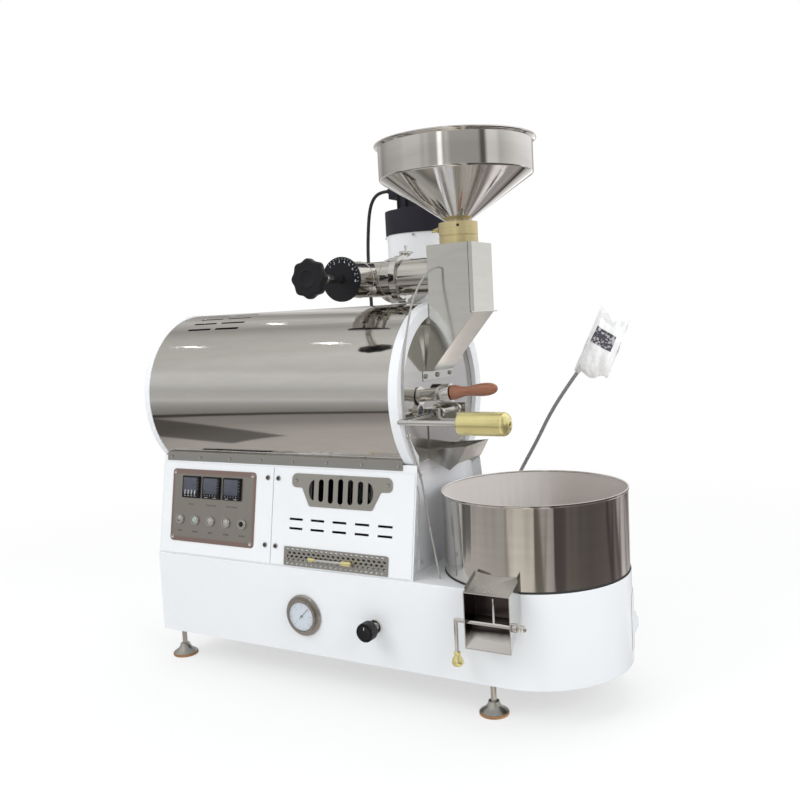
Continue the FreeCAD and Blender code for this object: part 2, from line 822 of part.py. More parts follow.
def vent_door():
    """Right door with louvres, the vent plate and the perforated ash flap."""
    door = body("vent_door")
    panel = window(sketch(door, "XY_Plane", "seat_gap"), "door_split_u + door_seam / 2",
                   "cabinet_right - 3", "door_bottom_v", "door_top_v")
    pad(door, panel, "door_sheet")
    holes = sketch(door, "XY_Plane", "seat_gap + door_sheet")
    for row in ("louvre_low_v", "louvre_high_v"):
        for k in range(5):
            middle = f"louvre_first_u + {k} * louvre_pitch"
            window(holes, f"{middle} - louvre_length / 2", f"{middle} + louvre_length / 2",
                   f"{row} - louvre_width / 2", f"{row} + louvre_width / 2")
    window(holes, "vent_mid_u - vent_low_half + 4", "vent_mid_u + vent_low_half - 4",
           "vent_low_v + 6", "vent_band_high_v - 6")
    window(holes, "flap_left_u + 6", "flap_right_u - 6", "flap_low_v + 5", "flap_high_v - 6")
    pocket(door, holes, "door_sheet")
    keep(on_front(door), "vent_door")

    back = "seat_gap + door_sheet"
    plate = body("vent_plate")
    mid = "vent_mid_u"
    pad(plate, outline(sketch(plate, "XY_Plane", back), [
        (f"{mid} - vent_low_half", "vent_low_v"), (f"{mid} + vent_low_half", "vent_low_v"),
        (f"{mid} + vent_shoulder_half", "vent_band_low_v - 3"), (f"{mid} + vent_half", "vent_band_low_v"),
        (f"{mid} + vent_half", "vent_band_high_v"), (f"{mid} - vent_half", "vent_band_high_v"),
        (f"{mid} - vent_half", "vent_band_low_v"), (f"{mid} - vent_shoulder_half", "vent_band_low_v - 3")]),
        "plate_sheet")
    slots = sketch(plate, "XY_Plane", f"{back} + plate_sheet")
    for k in range(-3, 4):
        half = f"vent_slot_half * {round(math.sqrt(1 - (k / 3.6) ** 2), 3)}"
        window(slots, f"{mid} + {k} * vent_slot_pitch - vent_slot_width / 2",
               f"{mid} + {k} * vent_slot_pitch + vent_slot_width / 2",
               f"vent_slot_v - {half}", f"vent_slot_v + {half}")
    pocket(plate, slots, "plate_sheet")
    keep(on_front(plate), "vent_plate")

    flap = body("ash_flap_sheet")
    pad(flap, window(sketch(flap, "XY_Plane", f"{back} + seat_gap"), "flap_left_u", "flap_right_u",
                     "flap_low_v", "flap_high_v"), "flap_sheet")
    holes = []
    for row in range(2):
        for k in range(14):
            u = f"flap_left_u + 12 + {k} * flap_hole_pitch"
            v = f"flap_low_v + 7 + {row} * flap_hole_pitch * 0.9"
            holes.append(box(u, f"{u} + flap_hole", v, f"{v} + flap_hole / 2", back, f"{back} + 4"))
    mesh = cut(flap, group(*holes))
    face = f"{back} + seat_gap + flap_sheet"
    bar = rod("x", "pull_radius", "pull_left_u", "pull_right_u - pull_left_u", y="pull_v",
              z=f"{face} + pull_stand")
    posts = [rod("z", "pull_radius", face, "pull_stand", u, "pull_v")
             for u in ("pull_left_u + 8", "pull_right_u - 8")]
    keep(on_front(group(mesh, fuse(bar, *posts))), "ash_flap")


# ---------------------------------------------------------------- barrel

def barrel_cover():
    """Polished cover wrapped over the drum, with flange strips down the cabinet's sloping sides."""
    part = body("barrel_cover")
    ring = sketch(part, "YZ_Plane", "rear_ring_right")
    circle(ring, "cover_radius", "0", "barrel_z")
    circle(ring, "cover_radius - cover_sheet", "0", "barrel_z")
    length = "ring_back - rear_ring_right"
    pad(part, ring, length)
    below = window(sketch(part, "YZ_Plane", "rear_ring_right"), "-cover_radius - 5", "cover_radius + 5",
                   "barrel_z - cover_radius - 5", "cover_edge_z")
    pocket(part, below, length, back=True)
    thick = "cover_sheet / cos(cabinet_slope)"
    low = "cover_edge_z - strip_width"
    top = "cabinet_top_z + seat_gap"
    high = "cover_edge_z + 1"
    for side in (1, -1):
        strip = sketch(part, "YZ_Plane", "rear_ring_right")
        outline(strip, [(f"{side} * ({slope_half(low)})", low),
                        (f"{side} * ({slope_half(low)} + {thick})", low),
                        (f"{side} * ({slope_half(high)} + {thick})", high),
                        (f"{side} * ({slope_half(high)} - 2)", high),
                        (f"{side} * ({slope_half(high)} - 2)", top),
                        (f"{side} * ({slope_half(top)})", top)])
        pad(part, strip, length)
    for row in range(4):
        slots = sketch(part, "XY_Plane", "barrel_z + cover_radius + 1")
        angle = f"(34 - 7.4 * {row})"
        for k in (0, 1):
            left = f"slot_first_x + {k} * (slot_length + slot_gap) + {2 * row}"
            near = f"-cover_radius * sin({angle})"
            window(slots, left, f"{left} + slot_length", f"{near} - slot_width / 2",
                   f"{near} + slot_width / 2")
        pocket(part, slots, f"cover_radius * (1 - cos({angle})) + 14")
    keep(part, "barrel_cover")


def rear_ring():
    """White end cap at the drive end."""
    keep(turned("rear_ring", [
        ("-barrel_left", "ring_radius - 12"), ("-barrel_left", "ring_radius"),
        ("rear_ring_right", "ring_radius"), ("rear_ring_right", "ring_radius - 12"), ("ring_sheet + 4 - barrel_left", "ring_radius - 12"),
        ("ring_sheet + 4 - barrel_left", "0"), ("4 - barrel_left", "0"), ("4 - barrel_left", "ring_radius - 12")],
        z="barrel_z", axis="H_Axis"), "rear_ring")


def front_ring():
    """White channel ring round the front plate, open at the bottom where the plate runs down."""
    part = turned("front_ring", [
        ("ring_back", "ring_radius"), ("ring_right", "ring_radius"), ("ring_right", "ring_bore"),
        ("plate_face + 0.1", "ring_bore"), ("plate_face + 0.1", "ring_bore + ring_sheet"),
        ("ring_right - ring_sheet", "ring_bore + ring_sheet"),
        ("ring_right - ring_sheet", "ring_radius - ring_sheet"), ("ring_back", "ring_radius - ring_sheet")],
        z="barrel_z", axis="H_Axis")
    gap = window(sketch(part, "YZ_Plane", "ring_right + 1"), "-keyhole_half", "keyhole_half",
                 "-ring_radius - 5", "0")
    pocket(part, gap, "ring_depth + 2")
    keep(part, "front_ring")


def front_plate():
    """Stainless keyhole plate that closes the drum, with its five openings."""
    part = body("front_plate")
    disc = circle(sketch(part, "YZ_Plane", "plate_back"), "ring_radius - ring_sheet - 2", "0", "barrel_z")
    pad(part, disc, "front_sheet")
    skirt = window(sketch(part, "YZ_Plane", "plate_back"), "seat_gap - keyhole_half",
                   "keyhole_half - seat_gap", "deck_z + seat_gap", "barrel_z")
    pad(part, skirt, "front_sheet")
    holes = sketch(part, "YZ_Plane", "plate_face")
    window(holes, "-inlet_half", "inlet_half", "inlet_low_z", "inlet_high_z")
    window(holes, "-outlet_half", "outlet_half", "outlet_low_z", "outlet_high_z")
    circle(holes, "tryer_tube + 2", "tryer_y", "tryer_z")
    circle(holes, "sight_hole", "sight_y", "sight_z")
    circle(holes, "shaft_radius + free_gap", "0", "barrel_z")
    pocket(part, holes, "front_sheet")
    keep(part, "front_plate")


def drum():
    """Roasting drum with its mixing vanes, on a shaft through its axis."""
    shell = turned("drum_wall", [
        ("drum_left", "shaft_radius + 0.02"), ("drum_left", "drum_radius"), ("drum_right", "drum_radius"),
        ("drum_right", "drum_mouth"), ("drum_right - drum_sheet", "drum_mouth"),
        ("drum_right - drum_sheet", "drum_radius - drum_sheet"),
        ("drum_left + drum_sheet", "drum_radius - drum_sheet"),
        ("drum_left + drum_sheet", "shaft_radius + 10"),
        ("drum_left + drum_sheet + 14", "shaft_radius + 10"),
        ("drum_left + drum_sheet + 14", "shaft_radius + 0.02")],
        z="barrel_z", axis="H_Axis")
    pieces = [shell]
    for k in range(4):
        vane = box("0", "drum_length - 2 * drum_sheet", "-vane_sheet / 2", "vane_sheet / 2", "0",
                   "vane_height")
        pieces.append(around(vane, "drum_left + drum_sheet", "drum_radius - drum_sheet - vane_height + 0.3",
                             45 + 90 * k))
    hub = cut(rod("x", "shaft_radius + 8", "spider_x", "spider_width", z="barrel_z"),
              rod("x", "shaft_radius + 0.02", "spider_x - 1", "spider_width + 2", z="barrel_z"))
    pieces.append(hub)
    for k in range(3):
        spoke = box("0", "spider_width", "-2", "2", "0", "drum_radius - drum_sheet - shaft_radius - 3")
        pieces.append(around(spoke, "spider_x", "shaft_radius + 4", 120 * k))
    shaft = rod("x", "shaft_radius", "-shaft_rear", "shaft_rear + plate_face + bearing_stand - 3",
                z="barrel_z")
    keep(group(fuse(*pieces), shaft), "drum")


def drum_bearings():
    """Capped bearing on the front plate, and the rear bulkhead with its bearing."""
    front = turned("front_bearing", [
        ("plate_face", "shaft_radius + run_gap"), ("plate_face", "bearing_radius"),
        ("plate_face + bearing_stand - 2", "bearing_radius"), ("plate_face + bearing_stand", "bearing_radius - 3"),
        ("plate_face + bearing_stand", "0"), ("plate_face + bearing_stand - 2", "0"),
        ("plate_face + bearing_stand - 2", "shaft_radius + run_gap")],
        z="barrel_z", axis="H_Axis")
    rear = turned("rear_bulkhead", [
        ("bulkhead_x", "shaft_radius + run_gap"), ("bulkhead_x", "cover_radius - cover_sheet - seat_gap"),
        ("bulkhead_x + bulkhead_sheet", "cover_radius - cover_sheet - seat_gap"),
        ("bulkhead_x + bulkhead_sheet", "bearing_radius + 12"),
        ("bulkhead_x + bulkhead_sheet + 8", "bearing_radius + 12"),
        ("bulkhead_x + bulkhead_sheet + 8", "shaft_radius + run_gap")],
        z="barrel_z", axis="H_Axis")
    keep(group(front, rear), "drum_bearings")


def drive_motor():
    """Gear motor on the rear bulkhead, with the drum shaft in its hollow output."""
    right = "bulkhead_x"
    gearbox = box(f"{right} - gearbox_length", right, "-gearbox_half", "gearbox_half",
                  "barrel_z - gearbox_half", "barrel_z + gearbox_half")
    motor = rod("x", "motor_radius", f"{right} - gearbox_length - motor_length", "motor_length", z="barrel_z")
    end = taper("x", "motor_radius - 8", "motor_radius", f"{right} - gearbox_length - motor_length - 8",
                "8", z="barrel_z")
    bore = rod("x", "shaft_radius + run_gap", "-shaft_rear - 6", f"shaft_rear + 7 + {right}", z="barrel_z")
    keep(cut(fuse(gearbox, motor, end), bore), "drive_motor")


def burner():
    """Three burner tubes on a manifold, standing on the deck under the drum."""
    tubes = [rod("x", "burner_radius", "burner_left", "burner_length", y=f"{k} * burner_pitch", z="burner_z")
             for k in (-1, 0, 1)]
    manifold = rod("y", "burner_radius + 2", "-burner_pitch - 16", "2 * burner_pitch + 32", "burner_left - 6",
                   z="burner_z")
    legs = [box(x, f"{x} + 3", "-burner_pitch - 10", "burner_pitch + 10", "deck_z", "burner_z - 2")
            for x in ("burner_left - 7", "burner_left + burner_length - 20")]
    keep(fuse(manifold, *tubes, *legs), "burner")


# ---------------------------------------------------------------- fittings on the front plate

def plate_fittings():
    """Guide tube of the sampling scoop and the bezel of the sight glass."""
    tube = turned("tryer_guide", [
        ("tryer_rod + run_gap", "-5"), ("tryer_tube", "-5"), ("tryer_tube", "1.8"), ("tryer_flange", "1.8"),
        ("tryer_flange", "4.8"), ("tryer_tube", "4.8"), ("tryer_tube", "tryer_tube_length * 0.6"),
        ("tryer_bell", "tryer_tube_length * 0.72"), ("tryer_bell", "tryer_tube_length - seat_gap"),
        ("tryer_rod + run_gap", "tryer_tube_length - seat_gap")],
        "plate_face", "tryer_y", "tryer_z")
    turn(tube, Y_AXIS, "90 - tryer_tilt")
    bezel = cut(rod("x", "sight_radius", "plate_face", "sight_stand", y="sight_y", z="sight_z"),
                rod("x", "sight_hole", "plate_face - 1", "sight_stand + 2", y="sight_y", z="sight_z"))
    keep(group(tube, bezel), "plate_fittings")


def tryer():
    """Sampling scoop: a round rod with a trough cut in it, and its turned wooden handle."""
    rod_end = "tryer_tube_length"
    bar = rod("z", "tryer_rod", "-tryer_reach", f"tryer_reach + {rod_end}")
    inside = rod("z", "tryer_rod - trough_wall", "4 - tryer_reach", "tryer_reach - trough_start")
    above = box("-tryer_rod - 1", "1", "-tryer_rod - 1", "tryer_rod + 1", "4 - tryer_reach", "-trough_start")
    scoop = place(cut(bar, inside, above), "plate_face", "tryer_y", "tryer_z")
    keep(turn(scoop, Y_AXIS, "90 - tryer_tilt"), "tryer_scoop")
    base = "tryer_tube_length"
    top = "tryer_tube_length + tryer_handle_length"
    wide = "tryer_handle"
    handle = turned("tryer_handle", [
        ("0", base), (wide, base), (f"{wide} - 0.5", f"{base} + 10"), (f"{wide} * 0.66", f"{base} + 24"),
        (f"{wide} * 0.62", f"{base} + 34"), (f"{wide} * 0.8", f"{base} + 52"),
        (f"{wide} * 0.88", f"{base} + 68"), (f"{wide} * 0.8", f"{base} + 82"),
        (f"{wide} * 0.5", f"{top} - 3"), (f"{wide} * 0.25", top), ("0", top)],
        "plate_face", "tryer_y", "tryer_z")
    keep(turn(handle, Y_AXIS, "90 - tryer_tilt"), "tryer_handle")


def discharge():
    """Drum door hung on a cross shaft, whose weighted handle keeps it shut, over its spout."""
    at = {"x": "lever_x", "z": "lever_z"}
    shaft = rod("y", "lever_radius", "lever_front_y", "lever_back_y - lever_front_y", **at)
    arm = rod("x", "lever_radius", "lever_x", "weight_near", y="lever_front_y", z="lever_z")
    keep(fuse(shaft, ball("lever_radius", "lever_x", "lever_front_y", "lever_z"), arm), "discharge_lever")
    near = "lever_x + weight_near"
    grip = fuse(rod("x", "weight_radius", f"{near} + 2", "weight_length - weight_dome - 2",
                    y="lever_front_y", z="lever_z"),
                taper("x", "weight_radius - 2", "weight_radius", near, "2", y="lever_front_y", z="lever_z"),
                taper("x", "weight_radius", "weight_radius - 8", f"{near} + weight_length - weight_dome",
                      "weight_dome", y="lever_front_y", z="lever_z"))
    keep(grip, "discharge_weight")
    front = "plate_face + seat_gap"
    panel = box(front, f"{front} + door_plate", "-door_half", "door_half", "door_low_z", "door_high_z")
    arms = [box(front, "lever_x", f"{y} - 3", f"{y} + 3", "door_high_z - 14", "lever_z")
            for y in ("-door_half + 12", "door_half - 12")]
    hole = rod("y", "lever_radius + 0.02", "-door_half - 5", "2 * door_half + 10", **at)
    knuckles = [rod("y", "lever_radius + 4", f"{y} - 3", "6", **at)
                for y in ("-door_half + 12", "door_half - 12")]
    keep(cut(fuse(panel, *arms, *knuckles), hole), "discharge_door")


def discharge_spout():
    """Open-bottomed spout over the tray, with the two ears that carry the door's shaft."""
    part = body("spout_shell")
    inset = "spout_sheet"
    near = "plate_face"
    reach = "plate_face + spout_reach"
    side = [(near, "spout_high_z - 8"), (reach, "spout_high_z"), (f"{reach} - 18", "spout_lip_z"),
            (f"{reach} - 38", "spout_low_z"), (near, "spout_low_z + 22")]
    pad(part, outline(sketch(part, "XZ_Plane", "-spout_half"), side), "2 * spout_half")
    hollow = [(f"{near} - 1", "spout_high_z + 4"), (f"{reach} - {inset}", "spout_high_z + 4"),
              (f"{reach} - {inset}", "spout_high_z"), (f"{reach} - 18 - {inset}", "spout_lip_z + 0.5"),
              (f"{reach} - 18 - {inset}", "spout_low_z - 5"), (f"{reach} - 52", "spout_low_z - 5"),
              (f"{reach} - 46", "spout_low_z + 5"), (f"{near} - 1", "spout_low_z + 25")]
    pocket(part, outline(sketch(part, "XZ_Plane", "spout_sheet - spout_half"), hollow),
           "2 * (spout_half - spout_sheet)", back=True)
    ears = []
    for side in (-1, 1):
        middle = f"{side} * ear_pitch"
        block = box(near, "lever_x + ear_half", f"{middle} - ear_width / 2", f"{middle} + ear_width / 2",
                    "lever_z - ear_half", "lever_z + ear_half")
        hole = rod("y", "lever_radius + run_gap", f"{middle} - ear_width", "2 * ear_width", "lever_x",
                   z="lever_z")
        ears.append(cut(block, hole))
    keep(group(part, *ears), "discharge_spout")


# ---------------------------------------------------------------- chute, hopper and exhaust

def chute():
    """Welded stainless box that leads beans from the hopper to the drum and fumes to the pipe."""
    part = body("chute")
    right = "chute_left + chute_depth"
    pad(part, outline(sketch(part, "XZ_Plane", "-chute_half"), [
        ("chute_left", "chute_top_z"), (right, "chute_top_z"), (right, "chute_kink_z"),
        ("chute_left", "chute_foot_z"), ("plate_face", "chute_foot_z"), ("plate_face", "chute_neck_z"),
        ("chute_left", "chute_neck_z")]), "2 * chute_half")
    flange = window(sketch(part, "YZ_Plane", "plate_face"), "-chute_half - 14", "chute_half + 26",
                    "chute_flange_z", "chute_foot_z + 1")
    pad(part, flange, "chute_sheet")
    rise = "(chute_kink_z - chute_foot_z) / chute_depth"
    lift = "chute_sheet * sqrt(1 + (chute_depth / (chute_kink_z - chute_foot_z)) ^ 2)"
    inner_right = f"{right} - chute_sheet"
    foot = "chute_foot_z + chute_sheet"
    pocket(part, outline(sketch(part, "XZ_Plane", "chute_sheet - chute_half"), [
        ("chute_left + chute_sheet", "chute_top_z - chute_sheet"), (inner_right, "chute_top_z - chute_sheet"),
        (inner_right, f"chute_kink_z + ({lift} - chute_sheet) * {rise}"),
        (f"chute_left - {lift} + chute_sheet / ({rise})", foot), ("plate_face - 1", foot),
        ("plate_face - 1", "chute_neck_z - chute_sheet"),
        ("chute_left + chute_sheet", "chute_neck_z - chute_sheet")]),
        "2 * (chute_half - chute_sheet)", back=True)
    top = circle(sketch(part, "XY_Plane", "chute_top_z"), "collar_bore", "hopper_x")
    pocket(part, top, "chute_sheet + 1")
    side = circle(sketch(part, "YZ_Plane", "chute_left + chute_sheet + 1"), "pipe_radius - pipe_sheet", "0",
                  "pipe_z")
    pocket(part, side, "chute_sheet + 2")
    keep(part, "chute")


def hopper():
    """Spun funnel with a straight wall and a rolled rim."""
    wall = "hopper_sheet"
    keep(turned("hopper", [
        ("hopper_neck", "gate_z + gate_sheet + 2"), ("hopper_neck", "collar_top_z + 4"),
        ("hopper_wall", "hopper_seam_z"), ("hopper_wall", "hopper_top_z - 8"),
        ("hopper_rim", "hopper_top_z - 4"), ("hopper_rim", "hopper_top_z"),
        ("hopper_rim - 4", "hopper_top_z"), (f"hopper_wall - {wall}", "hopper_top_z - 5"),
        (f"hopper_wall - {wall}", f"hopper_seam_z + {wall} * 0.6"),
        (f"hopper_neck - {wall}", f"collar_top_z + 4 + {wall} * 0.6"),
        (f"hopper_neck - {wall}", "gate_z + gate_sheet + 2")], "hopper_x"), "hopper")


def feed_gate():
    """Brass collar with a fixed bow-tie plate, and the gate that turns over it by its thumb tab."""
    ring = turned("collar_ring", [
        ("collar_bore", "chute_top_z"), ("collar_radius", "chute_top_z"),
        ("collar_radius", "chute_top_z + groove_up"), ("collar_radius - 1.2", "chute_top_z + groove_up"),
        ("collar_radius - 1.2", "chute_top_z + groove_up + 1.6"),
        ("collar_radius", "chute_top_z + groove_up + 1.6"), ("collar_radius", "collar_top_z"),
        ("collar_bore", "collar_top_z")], "hopper_x")
    fixed = bow_tie("gate_z - gate_sheet - seat_gap", "collar_bore + 0.5", 0)
    slot = doc.addObject("Part::Cylinder", "slot")
    bind(slot, Radius="collar_radius + 4", Height="gate_sheet + 2 * seat_gap", Angle="111")
    turn(place(slot, "hopper_x", "0", "gate_z - seat_gap"), Z_AXIS, "79.5")
    core = rod("z", "collar_bore - 2", "gate_z - 2", "gate_sheet + 4", "hopper_x")
    keep(fuse(cut(ring, cut(slot, core)), fixed), "hopper_collar")
    gate = bow_tie("gate_z", "collar_bore - seat_gap", 90)
    tab = box("hopper_x - collar_radius - 8", "hopper_x - collar_bore + 3", "-4", "4", "gate_z",
              "gate_z + gate_sheet")
    thumb = rod("x", "thumb_radius", "hopper_x - collar_radius - 2 - thumb_length", "thumb_length",
                z="gate_z + gate_sheet / 2")
    keep(fuse(gate, tab, thumb), "feed_gate")


def bow_tie(low, radius, angle):
    """Two opposite quarter discs round the hopper's axis."""
    wings = []
    for k in (0, 180):
        wing = doc.addObject("Part::Cylinder", "wing")
        bind(wing, Radius=radius, Height="gate_sheet", Angle="90")
        wings.append(turn(place(wing, "hopper_x", "0", low), Z_AXIS, str(angle + k)))
    centre = rod("z", "5", low, "gate_sheet", "hopper_x")
    return fuse(centre, *wings)


def exhaust_tee():
    """Polished tee: from the chute along X, forwards to the damper and back to the cyclone."""
    inner = "pipe_radius - pipe_sheet"
    end = "cyclone_y - sqrt((cyclone_radius - cyclone_sheet) ^ 2 - bell_radius ^ 2) + 2"
    forward = {"x": "pipe_x", "z": "pipe_z"}
    outside = [
        rod("y", "pipe_radius", "pipe_front_y", "bell_start_y - pipe_front_y", **forward),
        rod("x", "pipe_radius", "pipe_x", "chute_left - pipe_x", z="pipe_z"),
        taper("y", "pipe_radius", "bell_radius", "bell_start_y", "bell_end_y - bell_start_y", **forward),
        rod("y", "bell_radius", "bell_end_y", f"{end} - bell_end_y", **forward)]
    inside = [
        rod("y", inner, "pipe_front_y - 1", "bell_start_y - pipe_front_y + 2", **forward),
        rod("x", inner, "pipe_x", "chute_left - pipe_x + 1", z="pipe_z"),
        taper("y", inner, "bell_radius - pipe_sheet", "bell_start_y", "bell_end_y - bell_start_y", **forward),
        rod("y", "bell_radius - pipe_sheet", "bell_end_y - 0.01", f"{end} - bell_end_y + 1", **forward)]
    keep(cut(fuse(*outside), *inside), "exhaust_tee")


def pipe_clamp():
    """Two-piece pipe clamp with its swing bolt and wing nut."""
    left = "clamp_x - clamp_width / 2"
    ring = cut(rod("x", "clamp_radius", left, "clamp_width", z="pipe_z"),
               rod("x", "pipe_radius + seat_gap", f"{left} - 1", "clamp_width + 2", z="pipe_z"))
    top = "pipe_z + clamp_radius"
    lugs = [box("clamp_x - 5", "clamp_x + 5", y, f"{y} + 5", f"{top} - 4", f"{top} + 9") for y in ("3", "13")]
    bolt = rod("y", "2.6", "-2", "40", "clamp_x", z=f"{top} + 4")
    wings = [box("clamp_x - 2", "clamp_x + 2", "20", "29", f"{top} + 4 + {low}", f"{top} + 4 + {low} + 13")
             for low in ("4", "-17")]
    nut = rod("y", "6", "18", "12", "clamp_x", z=f"{top} + 4")
    hinge = rod("x", "5", "clamp_x - 9", "18", z="pipe_z - clamp_radius - 1")
    keep(fuse(ring, *lugs, bolt, nut, hinge, *wings), "pipe_clamp")


def damper():
    """Numbered dial that caps the pipe, and the star knob that turns the half sleeve inside."""
    at = {"x": "pipe_x", "z": "pipe_z"}
    face = "pipe_front_y - dial_thick"
    dial = cut(fuse(rod("y", "dial_radius", face, "dial_thick", **at),
                    rod("y", "pipe_radius - pipe_sheet - 0.1", "pipe_front_y - 1", "13", **at)),
               rod("y", "damper_shaft + run_gap", f"{face} - 1", "dial_thick + 16", **at))
    keep(dial, "damper_dial")
    start = "knob_front_y + knob_depth"
    sleeve_radius = "pipe_radius - pipe_sheet - sleeve_gap"
    tube = cut(rod("y", sleeve_radius, "-pipe_radius - 4", "2 * pipe_radius + 6", **at),
               rod("y", f"{sleeve_radius} - 1.5", "-pipe_radius - 2", "2 * pipe_radius + 6", **at),
               box("pipe_x", "pipe_x + pipe_radius", "-pipe_radius - 2", "pipe_radius + 4",
                   "pipe_z - pipe_radius", "pipe_z + pipe_radius"))
    shaft = rod("y", "damper_shaft", start, f"-pipe_radius - 3 - ({start})", **at)
    keep(fuse(tube, shaft), "damper_valve")
    lobes = [rod("y", "knob_radius * 0.26", "knob_front_y", "knob_depth - 6",
                 f"pipe_x + knob_radius * 0.74 * cos({k} * 360 / knob_lobes)",
                 z=f"pipe_z + knob_radius * 0.74 * sin({k} * 360 / knob_lobes)")
             for k in range(int(value("knob_lobes")))]
    hub = rod("y", "knob_radius * 0.8", "knob_front_y", "knob_depth - 6", **at)
    boss = taper("y", "knob_radius * 0.42", "knob_radius * 0.34", "knob_front_y + knob_depth - 6", "6", **at)
    keep(fuse(hub, boss, *lobes), "damper_knob")


# ---------------------------------------------------------------- cyclone and fan

def cyclone():
    """White cyclone behind the barrel, with its chaff can and bracket."""
    at = {"x": "pipe_x", "y": "cyclone_y"}
    wall = "cyclone_sheet"
    shell = turned("cyclone_shell", [
        ("cyclone_radius", "cyclone_top_z"), ("cyclone_radius", "cyclone_cone_z"),
        ("cyclone_foot", "cyclone_foot_z"), ("cyclone_foot", "chaff_top_z"),
        (f"cyclone_foot - {wall}", "chaff_top_z"), (f"cyclone_foot - {wall}", f"cyclone_foot_z + {wall} * 0.3"),
        (f"cyclone_radius - {wall}", f"cyclone_cone_z + {wall} * 0.3"),
        (f"cyclone_radius - {wall}", "cyclone_top_z")], **at)
    inlet = rod("y", "bell_radius + 0.2", "cyclone_y - cyclone_radius - 20", "cyclone_radius", "pipe_x",
                z="pipe_z")
    low = "chaff_top_z - chaff_height"
    can = turned("chaff_can", [
        (f"cyclone_foot - {wall}", "chaff_top_z"), ("chaff_radius - 4", "chaff_top_z"),
        ("chaff_radius", "chaff_top_z - 6"), ("chaff_radius", low), ("0", low), ("0", f"{low} + {wall}"),
        (f"chaff_radius - {wall}", f"{low} + {wall}"), (f"chaff_radius - {wall}", f"chaff_top_z - {wall} - 6"),
        (f"cyclone_foot - {wall}", f"chaff_top_z - {wall} - 1")], **at)
    shelf = "chaff_top_z - chaff_height"
    wall_y = slope_half(f"{shelf} - 4")
    bracket = box("pipe_x - 30", "pipe_x + 30", f"{wall_y} + 0.2", "cyclone_y", f"{shelf} - 4", shelf)
    keep(group(cut(shell, inlet), can, bracket), "cyclone_body")


def fan():
    """Black fan housing, the fan wheel inside it and the finned motor on top."""
    at = {"x": "pipe_x", "y": "cyclone_y"}
    low = "cyclone_top_z"
    top = "band_top_z"
    housing = turned("fan_band", [
        ("36", low), ("band_radius", low), ("band_radius", top), ("fan_shaft + free_gap", top),
        ("fan_shaft + free_gap", f"{top} - 2"), ("band_radius - 2", f"{top} - 2"),
        ("band_radius - 2", f"{low} + 2"), ("36", f"{low} + 2")], **at)
    edge = "cyclone_y + band_radius"
    duct = cut(box("pipe_x - 36", "pipe_x + 36", f"{edge} - 14", f"{edge} + 22", f"{low} + 3", f"{top} - 3"),
               rod("z", "band_radius - 1", f"{low}", "band_height", **at))
    mouth = box("pipe_x - 34", "pipe_x + 34", f"{edge} - 22", f"{edge} + 23", f"{low} + 5", f"{top} - 5")
    keep(cut(fuse(housing, duct), mouth), "fan_housing")
    blades = []
    for k in range(int(value("fan_blades"))):
        blade = box("fan_eye", "fan_wheel_radius - 1", "-1", "1", f"{low} + 9", f"{top} - 12")
        turned_by = f"{k} * 360 / fan_blades"
        place(blade, f"pipe_x + fan_eye * cos({turned_by})", f"cyclone_y + fan_eye * sin({turned_by})",
              f"{low} + 9")
        blades.append(turn(blade, Z_AXIS, turned_by))
    disc = rod("z", "fan_wheel_radius", f"{top} - 13", "3", **at)
    hub = rod("z", "14", f"{low} + 9", "band_height - 18", **at)
    shaft = rod("z", "fan_shaft", f"{top} - 12", "24", **at)
    keep(fuse(disc, hub, shaft, *blades), "fan_wheel")

    radius = "fan_motor_radius"
    motor = rod("z", radius, top, "fan_motor_height - 16", **at)
    cowl = fuse(rod("z", f"{radius} + fin_height", f"{top} + fan_motor_height - 20", "14", **at),
                taper("z", f"{radius} + fin_height", f"{radius} - 4",
                      f"{top} + fan_motor_height - 6", "6", **at))
    foot = rod("z", f"{radius} + fin_height + 2", top, "5", **at)
    fins = []
    for k in range(int(value("fin_count"))):
        fin = box("0", f"{radius} * 0.2 + fin_height", "-1.2", "1.2", "0", "fan_motor_height - 24")
        turned_by = f"({k} + 0.5) * 360 / fin_count"
        place(fin, f"pipe_x + {radius} * 0.8 * cos({turned_by})", f"cyclone_y + {radius} * 0.8 * sin({turned_by})",
              f"{top} + 4")
        fins.append(turn(fin, Z_AXIS, turned_by))
    side = f"pipe_x - {radius}"
    terminal = box(f"{side} - 22", f"{side} + 10", "cyclone_y - 24", "cyclone_y + 24",
                   "terminal_z - 22", "terminal_z + 18")
    gland = fuse(rod("x", "9", f"{side} - 30", "8", y="cyclone_y", z="terminal_z"),
                 taper("x", "5", "7", f"{side} - 38", "8", y="cyclone_y", z="terminal_z"))
    bore = rod("z", "fan_shaft + run_gap", f"{top} - 1", "16", **at)
    keep(cut(fuse(motor, cowl, foot, terminal, gland, *fins), bore), "fan_motor")


# ---------------------------------------------------------------- cooling tray

